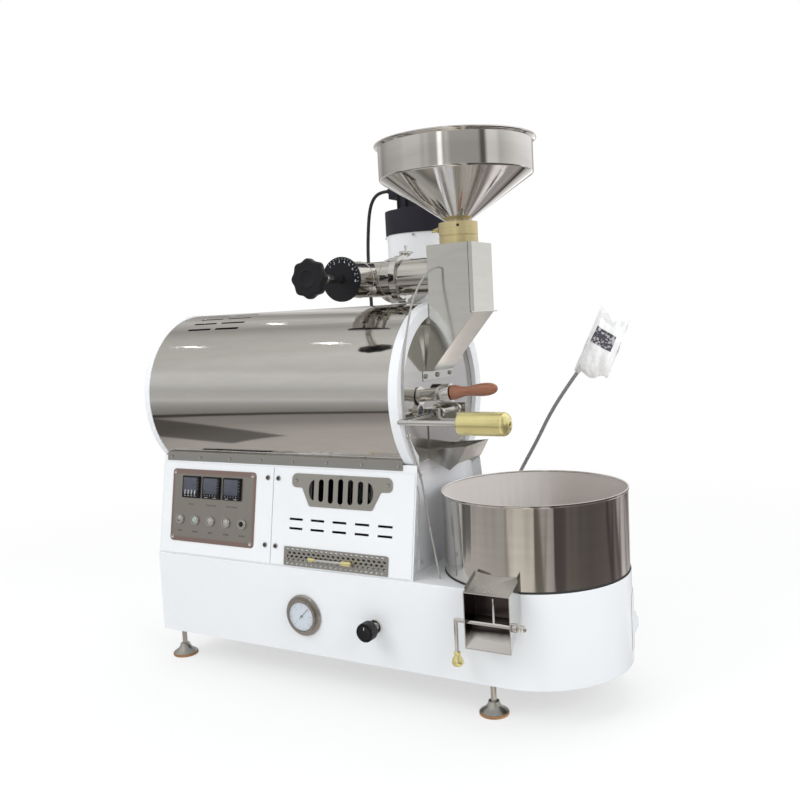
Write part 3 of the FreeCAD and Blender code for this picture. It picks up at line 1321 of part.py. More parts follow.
def cooling_tray():
    """Polished tray: a rolled wall and a slotted floor on a dark seat ring."""
    low = "deck_z + tray_lift"
    wall = turned("tray_wall_shell", [
        ("tray_seat_radius + seat_gap", low), ("tray_radius", low), ("tray_radius", "tray_rim_z - 5"),
        ("tray_radius + 1.5", "tray_rim_z - 3"), ("tray_radius + 1.5", "tray_rim_z"),
        ("tray_radius - tray_sheet", "tray_rim_z"), ("tray_radius - tray_sheet", f"{low} + tray_sheet"),
        ("tray_seat_radius + seat_gap", f"{low} + tray_sheet")], "tray_x")
    outlet = box("tray_outlet_left", "tray_outlet_left + tray_outlet_width", "-tray_radius - 10",
                 "-tray_radius + 40", "floor_top_z", "floor_top_z + outlet_tall")
    keep(cut(wall, outlet), "tray_wall")
    disc = turned("floor_disc", [
        ("floor_hole", "floor_top_z - floor_sheet"), ("tray_seat_radius - 8", "floor_top_z - floor_sheet"),
        ("tray_seat_radius - 8", "deck_z"), ("tray_seat_radius", "deck_z"),
        ("tray_seat_radius", "floor_top_z - floor_sheet"),
        ("tray_radius - tray_sheet - seat_gap", "floor_top_z - floor_sheet"),
        ("tray_radius - tray_sheet - seat_gap", "floor_top_z"), ("floor_hole", "floor_top_z")], "tray_x")
    slots = []
    for start, length in (("30", "36"), ("74", "36"), ("118", "36")):
        for k in range(10):
            slot = box("0", length, "-3", "3", "floor_top_z - 5", "floor_top_z + 5")
            place(slot, f"tray_x + {start} * cos({36 * k})", f"{start} * sin({36 * k})", "floor_top_z - 5")
            slots.append(turn(slot, Z_AXIS, str(36 * k)))
    keep(cut(disc, *slots), "tray_floor")


def agitator():
    """Stirring arms on the upright shaft."""
    hub = turned("agitator_hub", [
        ("0", "floor_top_z + 6"), ("agitator_hub", "floor_top_z + 6"), ("agitator_hub", "floor_top_z + 26"),
        ("agitator_hub - 8", "floor_top_z + 40"), ("0", "floor_top_z + 44")], "tray_x")
    shaft = rod("z", "agitator_shaft", "instrument_z + 14", "floor_top_z - instrument_z", "tray_x")
    pieces = [hub, shaft]
    for k in range(int(value("agitator_arms"))):
        swept = f"{k} * 360 / agitator_arms"
        arm = box("0", "agitator_reach - 10", "-4", "4", "0", "8")
        pieces.append(turn(place(arm, f"tray_x + 10 * cos({swept})", f"10 * sin({swept})",
                                 "floor_top_z + arm_height"), Z_AXIS, swept))
        for share, tilt in ((0.4, 25), (0.7, -20), (0.92, 15)):
            paddle = box("-12", "12", "-1", "1", "0", "arm_height + 2 - paddle_gap")
            facing = f"{swept} + 60 + {tilt}"
            turn(paddle, Z_AXIS, facing)
            spot = paddle_spot(f"agitator_reach * {share}", swept, facing)
            pieces.append(place(paddle, spot[0], spot[1], "floor_top_z + paddle_gap"))
    keep(fuse(*pieces), "agitator")


def paddle_spot(reach, arm_angle, own_angle):
    """Where a paddle's corner lies, so that the paddle is centred under its arm."""
    return (f"tray_x + ({reach}) * cos({arm_angle}) - 12 * cos({own_angle}) + sin({own_angle})",
            f"({reach}) * sin({arm_angle}) - 12 * sin({own_angle}) - cos({own_angle})")


def tray_works():
    """Gear motor of the agitator on a cross beam, and the cooling blower under the deck."""
    beam_top = "instrument_z - 6"
    beam = box("tray_x - 30", "tray_x + 30", "3.5 - base_half_width", "base_half_width - 3.5",
               f"{beam_top} - 4", beam_top)
    tabs = [box("tray_x - 30", "tray_x + 30", y, f"{y} + 1.5", f"{beam_top} - 4", f"{beam_top} + 20")
            for y in ("base_sheet + 0.2 - base_half_width", "base_half_width - base_sheet - 1.7")]
    clip = rod("z", "base_half_width - base_sheet - 0.2", f"{beam_top} - 6", "40", "tray_x")
    carrier = common(fuse(beam, *tabs), clip)
    case = box("tray_x - 38", "tray_x + 38", "-38", "38", beam_top, "floor_top_z - 34")
    motor = rod("x", "32", "tray_x - 128", "92", z=f"{beam_top} + 34")
    bore = rod("z", "agitator_shaft + run_gap", "instrument_z + 12", "120", "tray_x")
    volute_top = "deck_z - base_sheet"
    at = {"x": "blower_x", "y": "0"}
    volute = rod("z", "blower_radius", f"{volute_top} - blower_height", "blower_height", **at)
    outlet_z = f"{volute_top} - blower_height / 2 - 10"
    duct = rod("y", "blower_outlet", "20", "base_half_width - 20", "blower_x", z=outlet_z)
    inner = rod("y", "blower_outlet - 2", "30", "base_half_width - 20", "blower_x", z=outlet_z)
    eye = rod("z", "30", f"{volute_top} - blower_height - 1", "20", **at)
    keep(group(cut(fuse(carrier, case, motor), bore), cut(fuse(volute, duct), inner, eye)), "tray_works")


def common(first, second):
    result = doc.addObject("Part::Common", "common")
    result.Base = first
    result.Tool = second
    return result


def discharge_box():
    """Hooded chute on the front of the tray, with a steep ramp down to its mouth."""
    roof_back = "box_front_top_z + box_roof_rise * (-150 - box_front_y)"
    part = body("discharge_hood")
    wall = "box_sheet"
    pad(part, outline(sketch(part, "YZ_Plane", "box_left_x"), [
        ("box_front_y", "box_front_low_z"), ("box_back_y", "box_ramp_z"), ("box_back_y", "deck_z + 0.2"),
        ("-150", "deck_z + 0.2"), ("-150", roof_back), ("box_front_y", "box_front_top_z")]), "box_width")
    hollow = outline(sketch(part, "YZ_Plane", f"box_left_x + {wall}"), [
        ("box_front_y - 1", f"box_front_low_z + {wall} * 1.5 - 1"),
        (f"box_back_y - {wall}", f"box_ramp_z + {wall} * 0.4"), (f"box_back_y - {wall}", f"deck_z + {wall}"),
        ("-149", f"deck_z + {wall}"), ("-149", f"{roof_back} - {wall}"),
        ("box_front_y - 1", f"box_front_top_z - {wall} * 1.3")])
    pocket(part, hollow, f"box_width - 2 * {wall}", back=True)
    around_tray = rod("z", "tray_radius + seat_gap + 0.1", "deck_z - 1", "80", "tray_x")
    holes = rod("x", "cross_radius + run_gap", "box_left_x - 5", "box_width + 10", y="cross_y", z="cross_z")
    keep(cut(part, around_tray, holes), "discharge_box")

    lever = [rod("x", "cross_radius", "box_left_x - 22", "box_width + 36", y="cross_y", z="cross_z"),
             ball("cross_radius", "box_left_x - 22", "cross_y", "cross_z"),
             rod("z", "cross_radius", "ball_z", "cross_z - ball_z", "box_left_x - 22", "cross_y"),
             ball("ball_radius", "box_left_x - 22", "cross_y", "ball_z"),
             rod("x", "8", "box_left_x + box_width + seat_gap", "9", y="cross_y", z="cross_z"),
             rod("z", "2.5", "cross_z", "box_front_top_z - cross_z - 8",
                 "box_left_x + box_width * 0.6", "cross_y")]
    keep(fuse(*lever), "tray_lever")

    front = "tray_radius + seat_gap + 0.4"
    outer = rod("z", f"{front} + 1.5", "floor_top_z + seat_gap", "outlet_tall + 1", "tray_x")
    inner = rod("z", front, "floor_top_z - 1", "outlet_tall + 10", "tray_x")
    slab = box("tray_outlet_left - 3", "tray_outlet_left + tray_outlet_width + 3", "-tray_radius - 10", "-150",
               "floor_top_z + seat_gap", "floor_top_z + outlet_tall + 1")
    keep(common(cut(outer, inner), slab), "tray_gate")


# ---------------------------------------------------------------- lamp and cables

def lamp():
    """Gooseneck lamp on the deck behind the tray; its head is still in its bag."""
    reach = "lamp_x"
    start = "deck_z"
    flange = fuse(rod("z", "lamp_flange", start, "4", reach, "lamp_y"),
                  taper("z", "8", "6", f"{start} + 4", "8", reach, "lamp_y"))
    keep(flange, "lamp_foot")
    knuckle = ball("lamp_arm + 1", reach, "lamp_y", f"{start} + 12 + seat_gap + lamp_arm + 1")
    x = value("lamp_x")
    y = value("lamp_y")
    z = value("deck_z")
    neck = cord([(x, y, z + 18), (x + 4, y, z + 60), (x + 28, y, z + 112), (x + 58, y, z + 166),
                 (x + 91, y, z + 220), (x + 121, y, z + 276), (x + 155, y, z + 326),
                 (x + 186, y, z + 366)], 2 * value("lamp_arm"))
    keep(fuse(knuckle, neck), "lamp_arm")
    bag = body("lamp_bag")
    shape = [(189, 350), (201, 352), (246, 352), (296, 468), (264, 474), (237, 497), (186, 372)]
    pad(bag, outline(sketch(bag, "XZ_Plane", "-lamp_y - bag_half"),
                     [(f"lamp_x + {u}", f"deck_z + {v}") for u, v in shape]), "2 * bag_half")
    keep(bag, "lamp_bag")


def motor_cable():
    """Lead of the fan motor, from its gland down behind the barrel into the cabinet."""
    keep(cord([(-113.1, 250, 1038), (-133, 250, 1038.5), (-153, 250, 1026), (-165, 250, 1000),
               (-171, 249, 956), (-174, 246, 896), (-172, 244, 836), (-169, 242, 776), (-165, 236, 716),
               (-161, 224, 658), (-158, 212, 600), (-155, 206, 544), (-152, 203, 492), (-150, 200, 452),
               (-150, 194, 424), (-150, 184, 405), (-150, 171, 395), (-150, 159.2, 392)], 8), "motor_cable")


def probe_cable():
    """Braided probe lead from the chute round the front ring and down to the deck."""
    keep(cord([(168, -46.1, 834), (168, -60, 834), (159, -77, 827), (149, -96, 802), (143, -118, 768),
               (141.6, -136, 724), (141.4, -151, 682), (141.4, -163, 634), (141.4, -166.5, 588),
               (141.4, -162, 542), (142, -147, 499), (144, -128, 459), (149, -120, 418),
               (156, -122, 374), (165.5, -128, 330), (178, -136, 288), (188, -142, 247.8)], 4), "probe_cable")


def sensor_cable():
    """Thin second lead out of the cabinet's end wall and down to the corner of its front."""
    keep(cord([(125.1, -130, 430), (136, -130, 430), (145, -132, 417), (149, -136, 394), (151, -141.5, 368),
               (152, -148, 343), (152, -155, 319), (151, -162, 297), (149.6, -167.4, 277)], 2.5),
         "sensor_cable")


# ---------------------------------------------------------------- build, check and write

def build():
    for make in (base_housing, levelling_feet, gauge, gas_control, nose_hatch, upper_cabinet, control_door,
                 vent_door, barrel_cover, rear_ring, front_ring, front_plate, drum, drum_bearings,
                 drive_motor, burner, plate_fittings, tryer, discharge, discharge_spout, chute, hopper,
                 feed_gate, exhaust_tee, pipe_clamp, damper, cyclone, fan, cooling_tray, agitator,
                 tray_works, discharge_box, lamp, motor_cable, probe_cable, sensor_cable):
        make()
    doc.recompute()


def check():
    """Stop if any object of the document failed or any sub-part is not a sound solid."""
    bad = [item.Label for item in doc.Objects if {"Invalid", "Error"} & set(item.State)]
    if bad:
        raise SystemExit(f"failed objects: {bad}")
    for item in NODES:
        shape = item.Shape
        if shape.isNull() or not shape.isValid() or not shape.Solids:
            raise SystemExit(f"unsound sub-part: {item.Label}")


def write():
    os.makedirs("parts", exist_ok=True)
    for item in NODES:
        item.Shape.exportStep(f"parts/{item.Label}.step")
        print(item.Label, len(item.Shape.Solids), round(item.Shape.Volume))


build()
check()
write()
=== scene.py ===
import json
import math

import bmesh
import bpy
from mathutils import Matrix, Quaternion, Vector, noise

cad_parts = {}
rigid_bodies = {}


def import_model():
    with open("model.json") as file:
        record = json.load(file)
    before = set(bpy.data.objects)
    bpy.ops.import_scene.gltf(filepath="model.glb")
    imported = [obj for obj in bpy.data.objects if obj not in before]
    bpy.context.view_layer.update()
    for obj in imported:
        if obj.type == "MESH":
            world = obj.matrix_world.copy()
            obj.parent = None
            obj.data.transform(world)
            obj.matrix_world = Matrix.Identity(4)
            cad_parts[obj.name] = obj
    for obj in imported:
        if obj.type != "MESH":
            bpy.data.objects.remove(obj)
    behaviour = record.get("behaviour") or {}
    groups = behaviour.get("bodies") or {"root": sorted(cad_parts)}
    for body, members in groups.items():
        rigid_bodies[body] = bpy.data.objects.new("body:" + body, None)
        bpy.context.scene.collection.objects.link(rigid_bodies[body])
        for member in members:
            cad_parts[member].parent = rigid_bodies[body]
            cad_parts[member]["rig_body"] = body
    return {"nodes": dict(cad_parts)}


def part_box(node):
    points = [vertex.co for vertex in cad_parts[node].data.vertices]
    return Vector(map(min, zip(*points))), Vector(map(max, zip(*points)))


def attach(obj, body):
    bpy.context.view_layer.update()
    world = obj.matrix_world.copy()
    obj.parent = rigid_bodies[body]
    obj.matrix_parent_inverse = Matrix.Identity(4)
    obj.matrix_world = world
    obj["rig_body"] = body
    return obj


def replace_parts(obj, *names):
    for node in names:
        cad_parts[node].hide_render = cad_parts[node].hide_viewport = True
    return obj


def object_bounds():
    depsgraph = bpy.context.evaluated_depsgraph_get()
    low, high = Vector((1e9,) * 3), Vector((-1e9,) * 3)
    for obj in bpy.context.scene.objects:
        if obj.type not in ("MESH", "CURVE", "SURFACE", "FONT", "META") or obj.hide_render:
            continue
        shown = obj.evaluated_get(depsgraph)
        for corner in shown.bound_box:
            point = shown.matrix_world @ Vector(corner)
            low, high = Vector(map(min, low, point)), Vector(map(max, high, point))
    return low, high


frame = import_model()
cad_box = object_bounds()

# ---------------------------------------------------------------- camera, floor and light
# The roaster stands on the pale floor of a white studio. One wide soft lamp hangs over the
# operator's left shoulder, a fill stands on the right, a third lamp hangs high behind the machine,
# and three small spots sit in the ceiling.


class Wire:
    """A socket of a node tree; arithmetic on it adds Math nodes."""

    def __init__(self, nodes, socket):
        self.nodes = nodes
        self.socket = socket

    def maths(self, operation, *others):
        return self.nodes.add("Math", dict(enumerate((self, *others))), operation=operation)

    def __add__(self, other):
        return self.maths("ADD", other)

    def __sub__(self, other):
        return self.maths("SUBTRACT", other)

    def __rsub__(self, other):
        return self.nodes.add("Math", {0: other, 1: self}, operation="SUBTRACT")

    def __mul__(self, other):
        return self.maths("MULTIPLY", other)

    def __truediv__(self, other):
        return self.maths("DIVIDE", other)

    def __gt__(self, other):
        return self.maths("GREATER_THAN", other)

    def __lt__(self, other):
        return self.maths("LESS_THAN", other)

    __radd__ = __add__
    __rmul__ = __mul__


class Nodes:
    """A node tree, with one method that adds any node: its settings first, then its sockets."""

    def __init__(self, tree):
        self.tree = tree

    def add(self, kind, sockets=None, out=0, stops=None, **settings):
        node = self.tree.nodes.new("ShaderNode" + kind)
        for name, setting in settings.items():
            setattr(node, name, setting)
        for index, (place, color) in enumerate(stops or []):
            elements = node.color_ramp.elements
            element = elements[index] if index < 2 else elements.new(place)
            element.position = place
            element.color = (*color, 1) if len(color) == 3 else color
        for name, item in (sockets or {}).items():
            self.join(item, node.inputs[name])
        return Wire(self, node.outputs[out])

    def join(self, item, socket):
        if isinstance(item, Wire):
            self.tree.links.new(item.socket, socket)
        else:
            socket.default_value = item

    def blend(self, factor, first, second):
        """One colour changing into another."""
        colors = {0: factor}
        for index, color in ((6, first), (7, second)):
            colors[index] = color if isinstance(color, Wire) else (*color, 1)
        return self.add("Mix", colors, out=2, data_type="RGBA")


class Finish(Nodes):
    """A material that keeps a slot name from the record: its plain constants, ready for its detail."""

    def __init__(self, name, slot, color, rough, metal=0.0, **constants):
        self.material = bpy.data.materials.new(name)
        self.material.use_nodes = True
        super().__init__(self.material.node_tree)
        self.slot = slot
        self.surface = self.tree.nodes["Principled BSDF"]
        self.material.diffuse_color = (*color, 1)
        self.put("Base Color", (*color, 1))
        self.put("Roughness", rough)
        self.put("Metallic", metal)
        for socket, number in constants.items():
            self.put(socket.replace("_", " ").title().replace("Ior", "IOR"), number)

    def put(self, socket, item):
        self.join(item, self.surface.inputs[socket])

    def reads(self, socket):
        """What already feeds a socket."""
        return Wire(self, self.surface.inputs[socket].links[0].from_socket)

    def own(self, axis):
        """One of the object's own coordinates."""
        return self.add("SeparateXYZ", {0: self.add("TexCoord", out="Object")}, out=axis)

    def grain(self, scale, stretch=(1, 1, 1), detail=2.0):
        """Noise on the object's own coordinates, stretched along one way for a brushed surface."""
        place = self.add("Mapping", {"Vector": self.add("TexCoord", out="Object"), "Scale": stretch})
        return self.add("TexNoise", {"Vector": place, "Scale": scale, "Detail": detail})

    def bump(self, height, strength, depth):
        self.put("Normal", self.add("Bump", {"Height": height, "Strength": strength, "Distance": depth}))


scene = bpy.context.scene
scene.view_settings.view_transform = "Standard"

camera = bpy.data.objects.new("camera", bpy.data.cameras.new("camera"))
camera.data.sensor_width = 36
camera.data.lens = 39.86
camera.location = (0.9615, -1.5807, 0.7411)
camera.rotation_mode = "QUATERNION"
looking = Vector((-0.5024, 0.8597, -0.0924))
camera.rotation_quaternion = looking.to_track_quat("-Z", "Y") @ Quaternion((0, 0, 1), math.radians(-2.99))
scene.collection.objects.link(camera)
scene.camera = camera

floor_paint = Finish("studio_floor", None, (0.86, 0.86, 0.86), 0.8)
by_eye = floor_paint.add("LightPath", out="Is Camera Ray")
by_metal = floor_paint.add("LightPath", out="Is Glossy Ray").maths(
    "MAXIMUM", floor_paint.add("LightPath", out="Is Transmission Ray"))
place = floor_paint.add("TexCoord", out="Object")
reach = floor_paint.add("VectorMath", {0: place}, out="Value", operation="LENGTH")
far_away = floor_paint.add("MapRange", {"Value": reach, "From Min": 0.7, "From Max": 2.6},
                           interpolation_type="SMOOTHSTEP")
white = floor_paint.add("Emission", {"Color": (1, 1, 1, 1), "Strength": 1.0})

# In polished metal the floor shows a painted reflection that glows for glossy rays only: a grey floor that darkens
# away from the machine to a black skirting two metres off, light and dark stripes round the tray for doorways, and
# one dark patch in the narrow wedge beyond the tray.
painted_reflected_floor = floor_paint.add("ValToRGB", {0: reach / 8}, stops=[
    (0.0, (0.58, 0.55, 0.52)), (0.11, (0.50, 0.47, 0.445)), (0.16, (0.33, 0.305, 0.29)),
    (0.225, (0.29, 0.27, 0.26)), (0.235, (0.05, 0.046, 0.043)), (0.258, (0.05, 0.046, 0.043)),
    (0.266, (0.27, 0.26, 0.25)), (0.40, (0.37, 0.36, 0.35)), (0.7, (0.50, 0.495, 0.49)), (1.0, (0.62, 0.62, 0.615))])
tray_x = 0.326
floor_x, floor_y = (floor_paint.add("SeparateXYZ", {0: place}, out=name) for name in "XY")
round_tray = floor_y.maths("ARCTAN2", floor_x - tray_x) / math.tau + 0.5
# Painted reflection: light and dark stripes by their bearing round the tray.
painted_reflection_stripes = floor_paint.add("ValToRGB", {0: round_tray}, stops=[
    (0.0, (1, 1, 1)), (0.205, (1, 1, 1)), (0.222, (0.80, 0.80, 0.78)), (0.232, (1.75, 1.75, 1.66)),
    (0.298, (1.70, 1.72, 1.60)), (0.308, (0.42, 0.41, 0.37)), (0.330, (0.50, 0.49, 0.42)),
    (0.338, (1.35, 1.33, 1.33)), (0.360, (1.15, 1.10, 1.12)), (0.366, (0.24, 0.22, 0.225)),
    (0.392, (0.29, 0.265, 0.27)), (0.402, (0.46, 0.44, 0.43)), (0.48, (0.34, 0.32, 0.31)),
    (0.56, (0.42, 0.39, 0.38)), (0.575, (0.20, 0.18, 0.19)), (0.60, (0.62, 0.60, 0.60)),
    (0.622, (0.30, 0.29, 0.30)), (0.64, (1.9, 1.9, 1.95)), (0.66, (1.6, 1.6, 1.65)), (0.675, (0.85, 0.85, 0.9)),
    (0.70, (1.3, 1.3, 1.35)), (0.715, (0.55, 0.54, 0.54)), (0.74, (2.0, 2.0, 2.0)), (0.80, (2.2, 2.2, 2.2)),
    (0.815, (0.5, 0.48, 0.46)), (0.835, (1.3, 1.3, 1.3)), (0.87, (1.2, 1.2, 1.2)), (1.0, (1, 1, 1))])
mirrored = floor_paint.add("Mix", {0: 1.0, 6: painted_reflected_floor, 7: painted_reflection_stripes}, out=2, data_type="RGBA", blend_type="MULTIPLY")
# Painted reflection: a dark patch in the wedge beyond the tray, more than 0.8 m off.
dark_reflection_from, dark_reflection_to, dark_reflection_off = 0.046, 0.080, 0.8
painted_dark_reflection = (round_tray > dark_reflection_from) * (round_tray < dark_reflection_to) * (reach > dark_reflection_off)
painted_floor_reflection = floor_paint.add("Emission", {"Color": mirrored, "Strength": 1 - 0.68 * painted_dark_reflection})
plain = floor_paint.add("MixShader", {0: by_eye * (0.6 + 0.4 * far_away),
                                      1: Wire(floor_paint, floor_paint.surface.outputs[0]), 2: white})
floor_paint.join(floor_paint.add("MixShader", {0: by_metal, 1: plain, 2: painted_floor_reflection}),
                 floor_paint.tree.nodes["Material Output"].inputs["Surface"])
shape = bmesh.new()
bmesh.ops.create_grid(shape, x_segments=1, y_segments=1, size=14)
mesh = bpy.data.meshes.new("floor")
shape.to_mesh(mesh)
shape.free()
mesh.materials.append(floor_paint.material)
floor = bpy.data.objects.new("floor", mesh)
scene.collection.objects.link(floor)

# The room above the floor as polished metal sees it: bright walls that fade into a grey-beige
# ceiling, with darker doorways and white screens round it.
world = bpy.data.worlds.new("studio")
world.use_nodes = True
scene.world = world
room = Nodes(world.node_tree)
toward = room.add("TexCoord", out="Generated")
room_x, room_y, room_z = (room.add("SeparateXYZ", {0: toward}, out=name) for name in "XYZ")
height = room.add("ValToRGB", {0: room_z * 0.5 + 0.5}, stops=[
    (0.0, (0.45, 0.43, 0.41)), (0.47, (0.60, 0.59, 0.58)), (0.55, (0.55, 0.545, 0.535)), (0.62, (0.70, 0.695, 0.685)),
    (0.69, (0.76, 0.75, 0.74)), (0.735, (0.66, 0.65, 0.63)), (0.80, (0.71, 0.70, 0.68)), (0.95, (0.80, 0.79, 0.77)),
    (1.0, (0.84, 0.83, 0.81))])
bearing = room_y.maths("ARCTAN2", room_x) / math.tau + 0.5
screens = room.add("ValToRGB", {0: bearing}, stops=[
    (0.0, (0.75, 0.75, 0.74)), (0.083, (0.88, 0.88, 0.87)), (0.105, (1, 1, 1)), (0.175, (1, 1, 1)),
    (0.192, (0.80, 0.80, 0.78)), (0.207, (0.92, 0.92, 0.90)), (0.225, (0.70, 0.70, 0.67)), (0.252, (0.72, 0.72, 0.69)),
    (0.257, (2.3, 2.3, 2.3)), (0.270, (2.3, 2.3, 2.3)), (0.276, (0.66, 0.66, 0.63)), (0.290, (0.95, 0.95, 0.92)),
    (0.306, (0.63, 0.63, 0.60)), (0.417, (0.62, 0.62, 0.59)), (0.428, (0.18, 0.17, 0.16)), (0.442, (0.18, 0.17, 0.16)),
    (0.455, (1.25, 1.25, 1.25)), (0.492, (1.2, 1.2, 1.2)), (0.512, (0.90, 0.90, 0.88)), (0.600, (1.35, 1.35, 1.33)),
    (0.640, (1.45, 1.45, 1.47)), (0.735, (1.5, 1.5, 1.52)), (0.765, (0.70, 0.69, 0.68)), (0.82, (0.9, 0.9, 0.9)),
    (0.835, (0.42, 0.40, 0.38)), (0.855, (1.2, 1.2, 1.2)), (0.875, (0.5, 0.48, 0.46)), (0.90, (0.9, 0.9, 0.9)),
    (0.95, (0.52, 0.51, 0.50)), (1.0, (0.75, 0.75, 0.74))])
walls = room.add("Mix", {0: 1.0, 6: height, 7: screens}, out=2, data_type="RGBA", blend_type="MULTIPLY")
seen = room.add("LightPath", out="Is Camera Ray")
reflected = room.add("LightPath", out="Is Glossy Ray").maths(
    "MAXIMUM", room.add("LightPath", out="Is Transmission Ray"))
daylight = room.add("Background", {"Color": (0.96, 0.98, 1.0, 1), "Strength": 0.72})
backdrop = room.add("Background", {"Color": (1, 1, 1, 1), "Strength": 1.0})
lit = room.add("MixShader", {0: reflected, 1: daylight, 2: room.add("Background", {"Color": walls, "Strength": 1.0})})
room.join(room.add("MixShader", {0: seen, 1: lit, 2: backdrop}),
          world.node_tree.nodes["World Output"].inputs["Surface"])

middle = (cad_box[0] + cad_box[1]) / 2
for name, place, wide, power in (("key", (-1.6, -2.6, 2.9), 2.2, 52), ("fill", (2.8, -1.2, 1.7), 1.8, 34),
                                 ("top", (0.1, 0.6, 3.1), 2.4, 34)):
    lamp = bpy.data.lights.new(name, "AREA")
    lamp.size = wide
    lamp.energy = power
    item = bpy.data.objects.new(name, lamp)
    item.location = place
    item.rotation_mode = "QUATERNION"
    item.rotation_quaternion = (middle - Vector(place)).to_track_quat("-Z", "Y")
    item.visible_glossy = False
    scene.collection.objects.link(item)
for k, place in enumerate(((-2.53, -0.70, 2.9), (-2.09, 1.0, 2.9), (-1.62, -0.80, 2.9))):
    lamp = bpy.data.lights.new(f"ceiling_spot_{k + 1}", "POINT")
    lamp.shadow_soft_size = 0.02
    lamp.energy = 0.4
    item = bpy.data.objects.new(f"ceiling_spot_{k + 1}", lamp)
    item.location = place
    scene.collection.objects.link(item)

# ---------------------------------------------------------------- cables
# The fan motor's lead is black round flex; the bean probe has a steel-braided lead that is tied to
# the front ring, and a thinner sensor lead leaves the cabinet's end wall. All three end in glands.

black_flex = Finish("black_flex", "rubber", (0.02, 0.02, 0.022), 0.42, coat_weight=0.15)
black_flex.bump(black_flex.grain(420), 0.25, 0.0004)

steel_braid = Finish("steel_braid", "braid", (0.60, 0.59, 0.57), 0.38, 0.6)
weave = steel_braid.add("TexVoronoi", {
    "Vector": steel_braid.add("TexCoord", out="Object"), "Scale": 900.0}, out="Distance")
steel_braid.put("Base Color", steel_braid.blend(weave, (0.72, 0.71, 0.69), (0.32, 0.31, 0.30)))
steel_braid.bump(weave, 0.7, 0.0005)

motor_route = [
    (-0.1131, 0.25, 1.038), (-0.133, 0.25, 1.0385), (-0.153, 0.25, 1.026), (-0.165, 0.25, 1.0),
    (-0.171, 0.249, 0.956), (-0.174, 0.246, 0.896), (-0.172, 0.244, 0.836), (-0.169, 0.242, 0.776),
    (-0.165, 0.236, 0.716), (-0.161, 0.224, 0.658), (-0.158, 0.212, 0.6), (-0.155, 0.206, 0.544),
    (-0.152, 0.203, 0.492), (-0.15, 0.2, 0.452), (-0.15, 0.194, 0.424), (-0.15, 0.184, 0.405),
    (-0.15, 0.171, 0.395), (-0.15, 0.1592, 0.392)]
probe_route = [
    (0.168, -0.0461, 0.834), (0.168, -0.06, 0.834), (0.159, -0.077, 0.827), (0.149, -0.096, 0.802),
    (0.143, -0.118, 0.768), (0.1416, -0.136, 0.724), (0.1414, -0.151, 0.682), (0.1414, -0.163, 0.634),
    (0.1414, -0.1665, 0.588), (0.1414, -0.162, 0.542), (0.142, -0.147, 0.499), (0.144, -0.128, 0.459),
    (0.149, -0.12, 0.418), (0.156, -0.122, 0.374), (0.1655, -0.128, 0.33), (0.178, -0.136, 0.288),
    (0.188, -0.142, 0.2478)]
sensor_route = [
    (0.1251, -0.13, 0.43), (0.136, -0.13, 0.43), (0.145, -0.132, 0.417), (0.149, -0.136, 0.394),
    (0.151, -0.1415, 0.368), (0.152, -0.148, 0.343), (0.152, -0.155, 0.319), (0.151, -0.162, 0.297),
    (0.1496, -0.1674, 0.277)]


def laid(name, route, diameter, paint, body="machine"):
    """A round cable whose centreline is one smooth spline through its route."""
    curve = bpy.data.curves.new(name, "CURVE")
    curve.dimensions = "3D"
    curve.resolution_u = 8
    curve.bevel_depth = diameter / 2
    curve.bevel_resolution = 4
    curve.use_fill_caps = True
    spline = curve.splines.new("NURBS")
    spline.points.add(len(route) - 1)
    for point, place in zip(spline.points, route):
        point.co = (*place, 1)
    spline.order_u = 3
    spline.use_endpoint_u = True
    curve.materials.append(paint.material)
    item = bpy.data.objects.new(name, curve)
    scene.collection.objects.link(item)
    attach(item, body)
    return item


for name, route, diameter, paint, node, length in (
        ("motor_lead", motor_route, 0.008, black_flex, "motor_cable", 0.7014),
        ("probe_lead", probe_route, 0.004, steel_braid, "probe_cable", 0.6487),
        ("sensor_lead", sensor_route, 0.0025, steel_braid, "sensor_cable", 0.1709)):
    lead = laid(name, route, diameter, paint)
    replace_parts(lead, node)

# ---------------------------------------------------------------- base and nose hatch
# The base is a folded steel box with a round nose, welded at the corners and powder coated white.
# A curved hatch on the nose is held by a toggle latch; its coating is the same.


def powder_coat(name, color):
    """Baked powder: a fine orange peel and the faintest clouding."""
    paint = Finish(name, "white", color, 0.36, coat_weight=0.25)
    cloud = paint.grain(5.0, detail=4.0)
    darker = tuple(part * 0.93 for part in color)
    paint.put("Base Color", paint.blend(cloud, color, darker))
    paint.put("Roughness", 0.30 + 0.14 * cloud)
    paint.bump(paint.grain(700.0), 0.16, 0.0004)
    return paint


def piece(name, shape, body, paints, sharp=32, bevel=0.0, stands_for=(), soften=0):
    """A finished mesh that rides on a body, with its edges eased or its form softened."""
    paints = paints if isinstance(paints, (list, tuple)) else [paints]
    mesh = bpy.data.meshes.new(name)
    shape.to_mesh(mesh)
    shape.free()
    mesh.shade_smooth()
    mesh.set_sharp_from_angle(angle=math.radians(sharp))
    for paint in paints:
        mesh.materials.append(paint.material)
    item = bpy.data.objects.new(name, mesh)
    scene.collection.objects.link(item)
    if bevel:
        eased = item.modifiers.new("eased", "BEVEL")
        eased.width = bevel
        eased.segments = 2
        eased.limit_method = "ANGLE"
        eased.angle_limit = math.radians(sharp)
        eased.use_clamp_overlap = False
        eased.harden_normals = True
    if soften:
        rounded = item.modifiers.new("rounded", "SUBSURF")
        rounded.levels = rounded.render_levels = soften
    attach(item, body)
    if stands_for:
        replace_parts(item, *stands_for)
    return item


